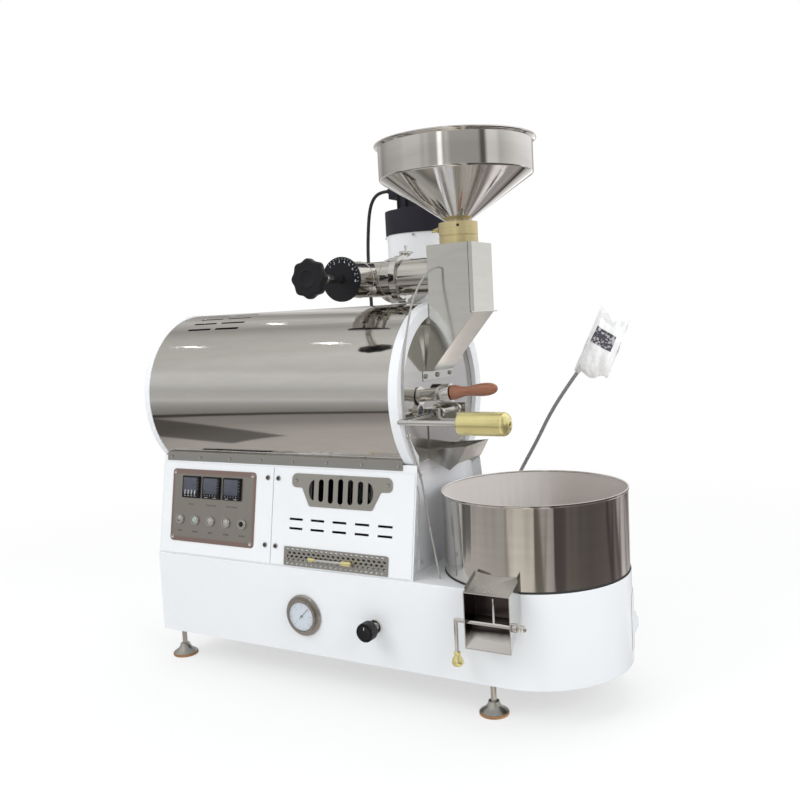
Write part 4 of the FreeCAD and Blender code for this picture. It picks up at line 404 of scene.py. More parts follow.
def dressed(node, paints, bevel=0.0005, sharp=32, choose=None):
    """The node's own mesh, joined up and with its edges eased, which stands for the node."""
    shape = bmesh.new()
    shape.from_mesh(frame["nodes"][node].data)
    bmesh.ops.remove_doubles(shape, verts=shape.verts, dist=0.000002)
    bmesh.ops.dissolve_limit(shape, angle_limit=math.radians(0.4), verts=shape.verts, edges=shape.edges)
    for face in shape.faces:
        face.material_index = choose(face.calc_center_median()) if choose else 0
    return piece(node + "_made", shape, frame["nodes"][node]["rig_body"], paints, sharp, bevel, (node,))


white_coat = powder_coat("white_coat", (0.815, 0.83, 0.845))
dressed("base_housing", white_coat, 0.0012)
dressed("nose_hatch", white_coat, 0.0006)

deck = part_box("base_housing")[1].z
nose_x = (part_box("tray_wall")[0].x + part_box("tray_wall")[1].x) / 2
base_half = -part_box("base_housing")[0].y

# ---------------------------------------------------------------- levelling feet
# Each foot is a turned steel bell on a bronze-coloured rubber rim; its stud screws up through the
# base's lip, between two hexagon nuts.


def spun(profile, centre=(0, 0, 0), axis=(0, 0, 1), steps=64):
    """A shape turned from (radius, height) points round an axis through the centre."""
    shape = bmesh.new()
    points = [shape.verts.new((radius, 0, height)) for radius, height in profile]
    edges = [shape.edges.new(pair) for pair in zip(points, points[1:])]
    bmesh.ops.spin(shape, geom=points + edges, cent=(0, 0, 0), axis=(0, 0, 1), angle=math.tau,
                   steps=steps, use_merge=True)
    bmesh.ops.remove_doubles(shape, verts=shape.verts, dist=0.000002)
    bmesh.ops.recalc_face_normals(shape, faces=shape.faces)
    stand = Matrix.Translation(centre) @ Vector(axis).to_track_quat("Z", "Y").to_matrix().to_4x4()
    bmesh.ops.transform(shape, matrix=stand, verts=shape.verts)
    return shape


def joined(*shapes):
    """Several shapes as one."""
    whole = bmesh.new()
    for shape in shapes:
        mesh = bpy.data.meshes.new("joined")
        shape.to_mesh(mesh)
        shape.free()
        whole.from_mesh(mesh)
        bpy.data.meshes.remove(mesh)
    return whole


def satin_steel(name, color=(0.66, 0.645, 0.615), rough=0.27, along=(3, 3, 900), slot="steel"):
    """Stainless sheet with a fine brushed grain that runs across the stretched direction."""
    paint = Finish(name, slot, color, rough, 1.0)
    lines = paint.grain(1.0, along, 3.0)
    cloud = paint.grain(9.0, detail=3.0)
    paint.put("Base Color", paint.blend(cloud * 0.6 + lines * 0.4, color, tuple(part * 0.82 for part in color)))
    paint.put("Roughness", rough - 0.05 + 0.12 * lines)
    paint.bump(lines, 0.12, 0.0003)
    return paint


turned_steel = satin_steel("turned_steel", (0.62, 0.60, 0.565), 0.30)
bronze_rim = Finish("bronze_rim", "bronze", (0.46, 0.25, 0.12), 0.45, 0.5)
bronze_rim.put("Base Color", bronze_rim.blend(bronze_rim.grain(60.0), (0.55, 0.30, 0.14), (0.34, 0.18, 0.09)))


def nut(centre, radius, height, axis=(0, 0, 1)):
    """A chamfered hexagon."""
    shape = bmesh.new()
    stand = Matrix.Translation(centre) @ Vector(axis).to_track_quat("Z", "Y").to_matrix().to_4x4()
    bmesh.ops.create_cone(shape, cap_ends=True, segments=6, radius1=radius, radius2=radius, depth=height,
                          matrix=stand @ Matrix.Translation((0, 0, height / 2)))
    bmesh.ops.bevel(shape, geom=shape.edges[:], offset=height * 0.09, affect="EDGES", segments=2, profile=0.5,
                    material=-1)
    return shape


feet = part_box("levelling_feet")
pad_radius = 0.028
rims, bells = [], []
for x in (feet[0].x + pad_radius, feet[1].x - pad_radius):
    for y in (feet[0].y + pad_radius, feet[1].y - pad_radius):
        rims.append(spun([(0, 0), (0.0275, 0), (pad_radius, 0.0008), (pad_radius, 0.0042), (0.0273, 0.005),
                          (0, 0.005)], (x, y, 0), steps=48))
        bells.append(spun([(0.0265, 0.005), (0.0268, 0.0062), (0.0245, 0.0078), (0.0195, 0.0108),
                           (0.0148, 0.0148), (0.0118, 0.0196), (0.0102, 0.025), (0.0055, 0.0255),
                           (0.0055, 0.085), (0, 0.085)], (x, y, 0), steps=48))
        for low in (0.063, 0.073):
            bells.append(nut((x, y, low), 0.01, 0.008))
piece("feet_rims", joined(*rims), "machine", bronze_rim, 40, stands_for=("levelling_feet",))
piece("feet_bells", joined(*bells), "machine", turned_steel, 40)

# ---------------------------------------------------------------- pressure gauge and gas valve
# A dry gauge in a polished steel case with a three-screw flange, white dial and black pointer under
# glass; beside it the gas needle valve with a fluted black knob on a bright collar.


def mirror_steel(name, color=(0.74, 0.725, 0.70), rough=0.075, slot="mirror"):
    """Polished stainless: nearly a mirror, with faint waves from the rolling and wiping marks."""
    paint = Finish(name, slot, color, rough, 1.0)
    wipes = paint.grain(14.0, (1, 1, 6), 4.0)
    paint.put("Base Color", paint.blend(wipes, color, tuple(part * 0.88 for part in color)))
    paint.put("Roughness", rough - 0.02 + 0.06 * wipes)
    paint.bump(paint.grain(7.0), 0.05, 0.004)
    return paint


bright_steel = mirror_steel("bright_steel", (0.80, 0.79, 0.77), 0.12)
dial_white = Finish("dial_white", "white", (0.58, 0.64, 0.73), 0.5)
dial_white.put("Base Color", dial_white.blend(dial_white.grain(40.0), (0.60, 0.66, 0.75), (0.53, 0.58, 0.67)))
ink = Finish("ink", "black", (0.02, 0.02, 0.022), 0.4)
ink.put("Roughness", 0.3 + 0.2 * ink.grain(300.0))
clear_glass = Finish("clear_glass", "display", (0.9, 0.93, 0.93), 0.03, alpha=0.16, coat_weight=1.0)
clear_glass.put("Roughness", 0.02 + 0.04 * clear_glass.grain(60.0))
black_plastic = Finish("black_plastic", "black", (0.009, 0.009, 0.011), 0.34, specular_ior_level=0.28)
black_plastic.put("Roughness", 0.24 + 0.16 * black_plastic.grain(35.0))
black_plastic.bump(black_plastic.grain(1100.0), 0.12, 0.0002)


def strokes(places, size, thick, at):
    """Small raised bars in the frame `at`: each place is the bar's x, y and angle."""
    shape = bmesh.new()
    for x, y, angle in places:
        bar = Matrix.Translation((x, y, 0)) @ Matrix.Rotation(angle, 4, "Z") @ Matrix.Diagonal((*size, thick, 1))
        bmesh.ops.create_cube(shape, size=1, matrix=at @ bar)
    return shape


def lettered(words, height, thick, at):
    """Generic figures as thin raised meshes in the frame `at`: each is its text, x and y."""
    whole = bmesh.new()
    for text, x, y in words:
        curve = bpy.data.curves.new("figure", "FONT")
        curve.body = text
        curve.size = height
        curve.extrude = thick / 2
        curve.align_x = "CENTER"
        curve.align_y = "CENTER"
        item = bpy.data.objects.new("figure", curve)
        mesh = bpy.data.meshes.new_from_object(item)
        mesh.transform(at @ Matrix.Translation((x, y, 0)))
        whole.from_mesh(mesh)
        bpy.data.objects.remove(item)
        bpy.data.curves.remove(curve)
        bpy.data.meshes.remove(mesh)
    return whole


def round_head(at, radius, height, socket=0.5):
    """A screw's head on its seat: domed edge and a sunk socket."""
    shape = bmesh.new()
    bmesh.ops.create_cone(shape, cap_ends=True, segments=20, radius1=radius, radius2=radius * 0.92,
                          depth=height, matrix=Matrix.Translation((0, 0, height / 2)))
    top = max(shape.faces, key=lambda face: face.calc_center_median().z)
    bmesh.ops.bevel(shape, geom=top.edges[:], offset=height * 0.35, affect="EDGES", segments=2, profile=0.5,
                    material=-1)
    top = max(shape.faces, key=lambda face: face.calc_center_median().z)
    bmesh.ops.inset_region(shape, faces=[top], thickness=radius * (0.86 - socket))
    bmesh.ops.translate(shape, verts=top.verts, vec=(0, 0, -0.55 * height))
    bmesh.ops.transform(shape, matrix=at, verts=shape.verts)
    return shape


def facing(centre, axis, up=(0, 0, 1)):
    """The frame whose Z is the axis and whose Y is as near to `up` as it can be."""
    z = Vector(axis).normalized()
    x = Vector(up).cross(z).normalized()
    y = z.cross(x)
    return Matrix(((x.x, y.x, z.x, centre[0]), (x.y, y.y, z.y, centre[1]), (x.z, y.z, z.z, centre[2]),
                   (0, 0, 0, 1)))


def bead(centre, axis, radius, thick=0.0011):
    """A weld seam round a pipe."""
    ring = [(radius + thick * math.cos(a), thick * math.sin(a)) for a in (math.tau * k / 8 for k in range(9))]
    return spun(ring, centre, axis, 72)


def screws(name, places, radius, height, body, paint, socket=0.5):
    """Like screw heads, one at each place."""
    return piece(name, joined(*[round_head(at, radius, height, socket=socket) for at in places]), body, paint, 40)


gauge_steel = satin_steel("gauge_steel", (0.50, 0.475, 0.44), 0.24, (40, 40, 40))
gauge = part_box("gauge_case")
gauge_x = (gauge[0].x + gauge[1].x) / 2
gauge_z = (gauge[0].z + gauge[1].z) / 2
dressed("gauge_case", gauge_steel, 0.0007)
front = facing((gauge_x, -base_half, gauge_z), (0, -1, 0))
dial_seat, glass_seat = 0.008, 0.0108
piece("gauge_dial", spun([(0, 0), (0.0297, 0), (0.0297, 0.00004), (0, 0.00004)], front @ Vector((0, 0, dial_seat)),
                         (0, -1, 0)), "machine", dial_white)
sweep = [math.radians(225 - 270 * k / 30) for k in range(31)]
marks = [(0.0255 * math.cos(a), 0.0255 * math.sin(a), a) for a in sweep]
long_marks = [(0.0245 * math.cos(a), 0.0245 * math.sin(a), a) for a in sweep[::5]]
dial_face = front @ Matrix.Translation((0, 0, 0.00807))
piece("gauge_marks", joined(
    strokes(marks, (0.003, 0.0004), 0.00004, dial_face), strokes(long_marks, (0.005, 0.0008), 0.00004, dial_face),
    lettered([(str(k), 0.0185 * math.cos(a), 0.0185 * math.sin(a)) for k, a in enumerate(sweep[::5])],
             0.0052, 0.00004, dial_face)), "machine", ink)
dressed("gauge_needle", ink, 0.0)
piece("gauge_glass", spun([(0, 0.0113), (0.0299, 0.0113), (0.0299, glass_seat), (0, glass_seat)],
                          front.translation, (0, -1, 0)), "machine", clear_glass)
screws("gauge_screws", [front @ Matrix.Translation((0.038 * math.cos(a), 0.038 * math.sin(a), 0.003))
                        for a in (math.radians(90 + 120 * k) for k in range(3))], 0.0030, 0.0014, "machine",
       gauge_steel, 0.62)
piece("gauge_gap", bead(front @ Vector((0, 0, glass_seat)), (0, -1, 0), 0.0302, 0.0009), "machine", ink, 80)

dressed("gas_valve", bright_steel, 0.0005)
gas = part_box("gas_knob")
knob_face = facing(((gas[0].x + gas[1].x) / 2, gas[0].y, (gas[0].z + gas[1].z) / 2), (0, -1, 0))
gas_radius = (gas[1].x - gas[0].x) / 2
gas_depth = gas[1].y - gas[0].y


def lobed(radius, depth, lobes, swell, round_over, steps=8):
    """A grip whose edge swells out in lobes, its rims rounded over; it grows along +Z."""
    shape = bmesh.new()
    bmesh.ops.create_circle(shape, cap_ends=True, segments=lobes * steps, radius=1)
    for vert in shape.verts:
        angle = math.atan2(vert.co.y, vert.co.x)
        vert.co *= radius * (1 - swell + swell * math.cos(lobes * angle))
    grown = bmesh.ops.extrude_face_region(shape, geom=shape.faces[:])
    bmesh.ops.translate(shape, verts=[item for item in grown["geom"] if isinstance(item, bmesh.types.BMVert)],
                        vec=(0, 0, depth))
    bmesh.ops.recalc_face_normals(shape, faces=shape.faces)
    rims = [edge for edge in shape.edges if abs(edge.verts[0].co.z - edge.verts[1].co.z) < 1e-6]
    bmesh.ops.bevel(shape, geom=rims, offset=round_over, affect="EDGES", segments=5, profile=0.5, material=-1)
    return shape


grip = lobed(gas_radius, gas_depth, 30, 0.022, 0.0022, 6)
top = max(grip.faces, key=lambda face: face.calc_center_median().z)
bmesh.ops.inset_region(grip, faces=[top], thickness=0.0006)
bmesh.ops.transform(grip, matrix=knob_face @ Matrix.Translation((0, 0, -gas_depth)), verts=grip.verts)
piece("gas_grip", grip, "gas_knob", black_plastic, 45, stands_for=("gas_knob",))
piece("gas_cap", spun([(0, 0.0001), (gas_radius - 0.0058, 0.0001), (gas_radius - 0.0052, 0.0005),
                       (gas_radius - 0.0044, 0.0005), (gas_radius - 0.0040, 0)], knob_face.translation, (0, -1, 0), 48),
      "gas_knob", black_plastic, 50)
piece("gas_pointer", strokes([(0, 0.0085, math.radians(90))], (0.006, 0.0011), 0.0003,
                             knob_face @ Matrix.Translation((0, 0, 0.0003))), "gas_knob", dial_white)

# ---------------------------------------------------------------- cabinet and its doors
# The cabinet is white coated sheet whose front leans back. The left door carries a taupe brushed
# plate with three controllers and five push buttons; the right door has louvres and a vent plate.

dressed("upper_cabinet", white_coat, 0.0008)
dressed("control_door", white_coat, 0.0005)
dressed("vent_door", white_coat, 0.0004)

slope = math.radians(10.2)
panel_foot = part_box("upper_cabinet")[1].y
panel = Matrix(((1, 0, 0, 0),
                (0, math.sin(slope), -math.cos(slope), -panel_foot),
                (0, math.cos(slope), math.sin(slope), deck),
                (0, 0, 0, 1)))


def above_sheet(point):
    """1 where a point on the sloping panel stands proud of the plate."""
    return int((panel.inverted() @ point).z > 0.0034)


taupe_steel = satin_steel("taupe_steel", (0.56, 0.54, 0.50), 0.34, (900, 4, 4))
control_steel = satin_steel("control_steel", (0.46, 0.435, 0.395), 0.36, (900, 4, 4))
plate_x, plate_z, half_wide, half_tall = -0.3533, 0.3542, 0.1085, 0.0650
rim = ((control_steel.own("X") - plate_x).maths("ABSOLUTE") - half_wide).maths(
    "MAXIMUM", (control_steel.own("Z") - plate_z).maths("ABSOLUTE") - half_tall)
edge = control_steel.add("MapRange", {"Value": rim, "From Min": 0.0, "From Max": 0.006},
                         interpolation_type="SMOOTHSTEP")
control_steel.put("Base Color", control_steel.blend(edge * 0.7, control_steel.reads("Base Color"), (0.40, 0.25, 0.23)))
dressed("control_plate", [control_steel, bright_steel], 0.0004, choose=above_sheet)
dressed("displays", black_plastic, 0.0009)

screen_glass = Finish("screen_glass", "display", (0.045, 0.052, 0.072), 0.16, coat_weight=0.6)
screen_glass.put("Base Color", screen_glass.blend(
    screen_glass.grain(45.0, detail=3.0), (0.035, 0.04, 0.055), (0.07, 0.078, 0.105)))
key_grey = Finish("key_grey", "display", (0.42, 0.41, 0.43), 0.45)
key_grey.put("Base Color", key_grey.blend(key_grey.grain(220.0), (0.50, 0.49, 0.51), (0.30, 0.29, 0.32)))
printing = Finish("printing", "black", (0.10, 0.09, 0.085), 0.5)
printing.put("Base Color", printing.blend(printing.grain(400.0), (0.13, 0.115, 0.105), (0.07, 0.06, 0.055)))

# The controllers are off: dim legends down the right and along the foot of each dark screen.
display_top, display_u, display_step = 0.0083, -0.4145, 0.058
button_u, button_step = -0.4435, 0.044
for k in range(3):
    face = panel @ Matrix.Translation((display_u + display_step * k, 0.1495, display_top))
    glass = bmesh.new()
    bmesh.ops.create_cube(glass, size=1, matrix=face @ Matrix.Translation((-0.001, 0.0035, 0.0001)) @ Matrix.Diagonal(
        (0.039, 0.034, 0.0008, 1)))
    bmesh.ops.bevel(glass, geom=glass.edges[:], offset=0.0003, affect="EDGES", segments=2, profile=0.5, material=-1)
    piece(f"display_glass_{k + 1}", glass, "control_door", screen_glass)
    legends = [strokes([(0.0212, 0.016 - 0.0065 * row, 0) for row in range(4)], (0.0016, 0.0009), 0.0002,
                       face @ Matrix.Translation((0, 0, 0.0004)))]
    if k == 0:
        legends.append(strokes([(-0.0145 + 0.0095 * n, -0.0115, math.radians(82)) for n in range(4)],
                               (0.0105, 0.0026), 0.0003, face @ Matrix.Translation((0, 0, 0.0006))))
        legends.append(strokes([(-0.0145 + 0.0095 * n, -0.0195, 0) for n in range(4)], (0.005, 0.0012), 0.0003, face))
    else:
        legends.append(strokes([(-0.0155 + 0.0075 * n, -0.0165, math.radians(60)) for n in range(5)],
                               (0.0024, 0.0010), 0.0002, face @ Matrix.Translation((0, 0, 0.0004))))
        legends.append(strokes([(-0.0115, -0.0212, 0), (0.0125, -0.0212, 0)], (0.0085, 0.0012), 0.0003, face))
    piece(f"display_legends_{k + 1}", joined(*legends), "control_door", key_grey)

# Generic printed dashes name the displays and buttons.
dashes = []
for first, step, v, pitch, counts in ((display_u, display_step, 0.1115, 0.0052, (3, 6, 6)),
                                      (button_u, button_step, 0.0525, 0.0042, (3, 4, 3, 4, 4))):
    for k, count in enumerate(counts):
        dashes += [(first + step * k + pitch * (n - (count - 1) / 2), v, 0) for n in range(count)]
piece("plate_printing", strokes(dashes, (0.0030, 0.0036), 0.0002, panel @ Matrix.Translation((0, 0, 0.0034))),
      "control_door", printing)

cap_steel = mirror_steel("cap_steel", (0.70, 0.69, 0.66), 0.16)
cap_grey = Finish("cap_grey", "mirror", (0.46, 0.44, 0.41), 0.3, 0.4)
cap_grey.put("Base Color", cap_grey.blend(cap_grey.grain(160.0), (0.50, 0.48, 0.45), (0.38, 0.36, 0.34)))
cap_green = Finish("cap_green", "mirror", (0.40, 0.50, 0.41), 0.3, 0.3)
cap_green.put("Base Color", cap_green.blend(cap_green.grain(160.0), (0.44, 0.55, 0.45), (0.32, 0.40, 0.34)))
caps = [cap_steel, cap_green, cap_grey, cap_grey, black_plastic]
for k, paint in enumerate(caps):
    dressed(f"button_{k + 1}", [cap_grey], 0.0005)
    face = panel @ Matrix.Translation((button_u + button_step * k, 0.078, 0.0073))
    out = face.to_3x3() @ Vector((0, 0, 1))
    piece(f"button_lens_{k + 1}", spun([(0, 0.0008), (0.0038, 0.0006), (0.0058, 0)], face.translation, out, 32),
          f"button_{k + 1}", paint)
    piece(f"button_ring_{k + 1}", spun([
        (0.0088, -0.0036), (0.0084, -0.0014), (0.0090, -0.0002), (0.0102, -0.0001), (0.0110, -0.0012),
        (0.0112, -0.0038)], face.translation, out, 40), "control_door", cap_steel, 50)

plate_top = 0.0033
screws("control_screws", [panel @ Matrix.Translation((u, v, plate_top)) for v in (0.0377, 0.180)
                          for u in (-0.463, -0.2435)], 0.0044, 0.0018, "control_door", bright_steel)


def arced(corners, radii, steps=6):
    """A closed outline through the corners, each rounded by its own radius."""
    points = []
    for k, (corner, radius) in enumerate(zip(corners, radii)):
        corner = Vector(corner)
        back = (Vector(corners[k - 1]) - corner).normalized()
        ahead = (Vector(corners[(k + 1) % len(corners)]) - corner).normalized()
        half = back.angle(ahead) / 2
        centre = corner + (back + ahead).normalized() * radius / math.sin(half)
        first = corner + back * radius / math.tan(half) - centre
        last = corner + ahead * radius / math.tan(half) - centre
        turn = first.angle_signed(last)
        for n in range(steps + 1):
            points.append(centre + Matrix.Rotation(-turn * n / steps, 2) @ first)
    return points


def cut_sheet(loops, thick, at):
    """A flat sheet: the first loop is its outline and the others are holes."""
    curve = bpy.data.curves.new("sheet", "CURVE")
    curve.dimensions = "2D"
    curve.fill_mode = "BOTH"
    curve.extrude = thick / 2
    for loop in loops:
        spline = curve.splines.new("POLY")
        spline.points.add(len(loop) - 1)
        for point, place in zip(spline.points, loop):
            point.co = (place[0], place[1], 0, 1)
        spline.use_cyclic_u = True
    item = bpy.data.objects.new("sheet", curve)
    mesh = bpy.data.meshes.new_from_object(item)
    mesh.transform(at @ Matrix.Translation((0, 0, thick / 2)))
    shape = bmesh.new()
    shape.from_mesh(mesh)
    bmesh.ops.remove_doubles(shape, verts=shape.verts, dist=0.000002)
    bmesh.ops.recalc_face_normals(shape, faces=shape.faces)
    bpy.data.objects.remove(item)
    bpy.data.curves.remove(curve)
    bpy.data.meshes.remove(mesh)
    return shape


# The vent plate is laser cut: two ears, a tapered foot, five long holes and a D at each end.
vent_u, hole_v = -0.0216, 0.159
outline = arced([(vent_u - 0.075, 0.126), (vent_u + 0.075, 0.126), (vent_u + 0.094, 0.163), (vent_u + 0.1195, 0.163),
                 (vent_u + 0.1195, 0.1915), (vent_u - 0.1195, 0.1915), (vent_u - 0.1195, 0.163),
                 (vent_u - 0.094, 0.163)], (0.006, 0.006, 0.006, 0.010, 0.012, 0.012, 0.010, 0.006))
holes = []
for k in range(-2, 3):
    tall = (0.0225, 0.0245, 0.0250)[2 - abs(k)]
    u = vent_u + 0.0234 * k
    holes.append(arced([(u - 0.006, hole_v - tall), (u + 0.006, hole_v - tall), (u + 0.006, hole_v + tall),
                        (u - 0.006, hole_v + tall)], (0.0059,) * 4))
for way in (-1, 1):
    u = vent_u + way * 0.0640
    rounded = [(u + way * 0.0125 * math.cos(a), hole_v + 0.0205 * math.sin(a))
               for a in (math.radians(-90 + 15 * n) for n in range(13))]
    holes.append(rounded if way > 0 else rounded[::-1])
piece("vent_cut", cut_sheet([outline] + holes, 0.0015, panel @ Matrix.Translation((0, 0, 0.0018))), "vent_door",
      taupe_steel, bevel=0.0002, stands_for=("vent_plate",))
# Painted shade: two dark pads on the door darken the white sheet seen through the D holes.
piece("vent_shade_pads", strokes([(vent_u - 0.0745, hole_v, 0), (vent_u + 0.0745, hole_v, 0)], (0.0085, 0.046), 0.0001,
                          panel @ Matrix.Translation((0, 0, 0.00182))), "vent_door", ink)
screws("vent_screws", [panel @ Matrix.Translation((u, 0.1775, plate_top)) for u in (-0.1306, 0.0874)],
       0.0042, 0.0014, "vent_door", taupe_steel)
screws("vent_rivets", [panel @ Matrix.Translation((vent_u, v, plate_top)) for v in (0.1875, 0.1300)],
       0.0030, 0.0010, "vent_door", taupe_steel)
for body, u in (("control_door", -0.205), ("vent_door", -0.1775)):
    latches, slots = [], []
    for v in (0.179, 0.040):
        seat = panel @ Matrix.Translation((u, v, 0.0018))
        out = seat.to_3x3() @ Vector((0, 0, 1))
        latches.append(spun([(0.0030, 0.0020), (0.0036, 0.0026), (0.0046, 0.0024), (0.0054, 0.0012), (0.0056, 0)],
                            seat.translation, out, 32))
        slots.append(spun([(0, 0.0016), (0.0034, 0.0016), (0.0034, 0)], seat.translation, out, 24))
    piece(body + "_latches", joined(*latches), body, gauge_steel, 40)
    piece(body + "_slots", joined(*slots), body, ink, 40)

# ---------------------------------------------------------------- ash flap
# A perforated stainless flap with rows of slanted slots covers the chaff drawer's air inlet; its
# pull is a bar on two posts with turned brass ends.

flap_steel = satin_steel("flap_steel", (0.52, 0.50, 0.46), 0.30, (600, 6, 6))
brass = Finish("brass", "brass", (0.90, 0.82, 0.40), 0.20, 0.85)
tarnish = brass.grain(26.0, detail=4.0)
brass.put("Base Color", brass.blend(tarnish, (0.97, 0.90, 0.48), (0.76, 0.66, 0.28)))
brass.put("Roughness", 0.13 + 0.16 * tarnish)
brass.bump(brass.grain(300.0, (1, 1, 5)), 0.03, 0.0001)

flap_left, flap_right, flap_low, flap_high = -0.154, 0.0945, 0.004, 0.042
sheet_w = 0.0018
columns, rows = 20, 5
step_u, step_v = 0.0119, 0.0070
holes = []
for row in range(rows):
    for column in range(columns):
        u = flap_left + 0.0085 + step_u * (column + (0.5 if row % 2 else 0))
        v = flap_low + 0.005 + step_v * row
        if u > flap_right - 0.0055:
            continue
        tilt = math.radians(-14 if row % 2 else 10)
        oval = [Matrix.Rotation(tilt, 2) @ Vector((0.0036 * math.cos(a), 0.0021 * math.sin(a)))
                for a in (math.tau * n / 12 for n in range(12))]
        holes.append([(u + point.x, v + point.y) for point in oval])
outline = arced([(flap_left, flap_low), (flap_right, flap_low), (flap_right, flap_high), (flap_left, flap_high)],
                (0.002, 0.002, 0.005, 0.002))
piece("flap_mesh", cut_sheet([outline] + holes, 0.0015, panel @ Matrix.Translation((0, 0, sheet_w))), "ash_flap",
      flap_steel, stands_for=("ash_flap",))
sheet_top = sheet_w + 0.0015
bar_w = sheet_top + 0.011
pull_v = 0.021
out = panel.to_3x3() @ Vector((0, 0, 1))
pull = [spun([(0, 0), (0.0026, 0), (0.0026, 0.088), (0, 0.088)], panel @ Vector((-0.075, pull_v, bar_w)), (1, 0, 0),
             24)]
for u in (-0.077, 0.015):
    pull.append(spun([(0, 0), (0.0026, 0), (0.0026, 0.0105), (0, 0.0105)], panel @ Vector((u, pull_v, sheet_top)), out,
                     24))
piece("flap_pull", joined(*pull), "ash_flap", bright_steel, 40)
piece("flap_pull_ends", joined(
    spun([(0, -0.006), (0.0034, -0.0055), (0.004, -0.003), (0.004, 0.003), (0.0030, 0.0045), (0.0030, 0.010),
          (0, 0.010)], panel @ Vector((-0.079, pull_v, bar_w)), (1, 0, 0), 24),
    spun([(0, -0.003), (0.0042, -0.0025), (0.0046, 0), (0.0046, 0.018), (0.0040, 0.0195), (0, 0.0195)],
         panel @ Vector((-0.003, pull_v, bar_w)), (1, 0, 0), 24)), "ash_flap", brass, 40)

# ---------------------------------------------------------------- barrel
# A polished stainless cover wraps the drum between two white rings, and is screwed to the cabinet
# through flange strips down its sloping sides.

barrel_steel = mirror_steel("barrel_steel", (0.70, 0.685, 0.655), 0.075)
strip_steel = satin_steel("strip_steel", (0.46, 0.45, 0.43), 0.34, (3, 3, 700), "mirror")
strip_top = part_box("upper_cabinet")[1].z + 0.005
dressed("barrel_cover", [barrel_steel, strip_steel], 0.0004,
        choose=lambda point: int(point.z < strip_top))
dressed("rear_ring", white_coat, 0.0012)
dressed("front_ring", white_coat, 0.0009)
strip_z = 0.4585
strip_y = -(panel_foot - (strip_z - deck) * math.tan(slope)) - 0.0012
screws("strip_screws", [facing((-0.480 + 0.084 * k, strip_y, strip_z), (0, -math.cos(slope), math.sin(slope)))
                        for k in range(8)], 0.0036, 0.0018, "machine", turned_steel)

# ---------------------------------------------------------------- front plate, sight glass and scoop
# The keyhole plate that closes the drum is polished stainless; the sampling scoop slides in a turned
# guide and has an oiled reddish hardwood handle, turned and waxed.

plate_steel = mirror_steel("plate_steel", (0.72, 0.70, 0.67), 0.10)
# Painted light: below about 0.45 m the plate turns pale bluish, rougher and less metallic, lifting its shaded foot.
low = plate_steel.add("MapRange", {"Value": plate_steel.own("Z"), "From Min": 0.48, "From Max": 0.42},
                      interpolation_type="SMOOTHSTEP")
plate_steel.put("Base Color", plate_steel.blend(low, plate_steel.reads("Base Color"), (0.88, 0.89, 0.92)))
plate_steel.put("Metallic", 1 - 0.8 * low)
plate_steel.put("Roughness", 0.11 + 0.22 * low)
dressed("front_plate", plate_steel, 0.0003)
dressed("plate_fittings", bright_steel, 0.0005)
dressed("tryer_scoop", bright_steel, 0.0004)
plate_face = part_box("front_plate")[1].x
piece("sight_glass", spun([(0, 0.004), (0.0088, 0.004), (0.0088, 0.002), (0, 0.002)],
                          (plate_face, -0.084, 0.560), (1, 0, 0), 40), "machine", screen_glass)

# Two screws in the cabinet's end wall, and the clip that holds the probe's lead.
cabinet_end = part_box("upper_cabinet")[1].x
piece("end_screws", joined(*[round_head(facing((cabinet_end, y, z), (1, 0, 0)), 0.0045, 0.0025)
                             for y, z in ((-0.140, 0.275), (-0.128, 0.440))]), "machine", turned_steel, 40)
piece("lead_clip", spun([(0.0032, -0.004), (0.0046, -0.004), (0.0046, 0.004), (0.0032, 0.004), (0.0032, -0.004)],
                        (0.1414, -0.1535, 0.520), (0.02, -0.33, -0.94), 24), "machine", bright_steel, 40)

hardwood = Finish("hardwood", "wood", (0.30, 0.12, 0.06), 0.30, coat_weight=0.6)
tilt = math.radians(4.8)
lines = hardwood.add("TexWave", {
    "Vector": hardwood.add("Mapping", {"Vector": hardwood.add("TexCoord", out="Object"), "Scale": (6, 60, 60),
                                       "Rotation": (0, tilt, 0)}),
    "Scale": 2.2, "Distortion": 5.0, "Detail": 3.0}, bands_direction="Z")
pores = hardwood.grain(1.0, (60, 900, 900))
hardwood.put("Base Color", hardwood.blend(lines * 0.65 + pores * 0.35, (0.38, 0.155, 0.08), (0.13, 0.045, 0.025)))
hardwood.put("Roughness", 0.26 + 0.2 * pores)
hardwood.bump(pores, 0.15, 0.0004)
along = Vector((math.cos(tilt), 0, math.sin(tilt)))
root = Vector((plate_face, -0.078, 0.588)) + 0.072 * along
piece("tryer_grip", spun([(0, 0), (0.0138, 0), (0.0145, 0.001), (0.0145, 0.0035), (0.0138, 0.0105), (0.0112, 0.018),
                          (0.0092, 0.027), (0.0088, 0.034), (0.0100, 0.044), (0.0118, 0.055), (0.0127, 0.067),
                          (0.0120, 0.080), (0.0093, 0.089), (0.0050, 0.0942), (0, 0.095)], root, along, 40),
      "tryer", hardwood, 60, stands_for=("tryer_handle",), soften=1)

# ---------------------------------------------------------------- discharge door and its weighted lever
# The drum door hangs from a bright steel cross shaft; a heavy polished brass cylinder on its front
# end keeps the door shut. The spout below is folded stainless.

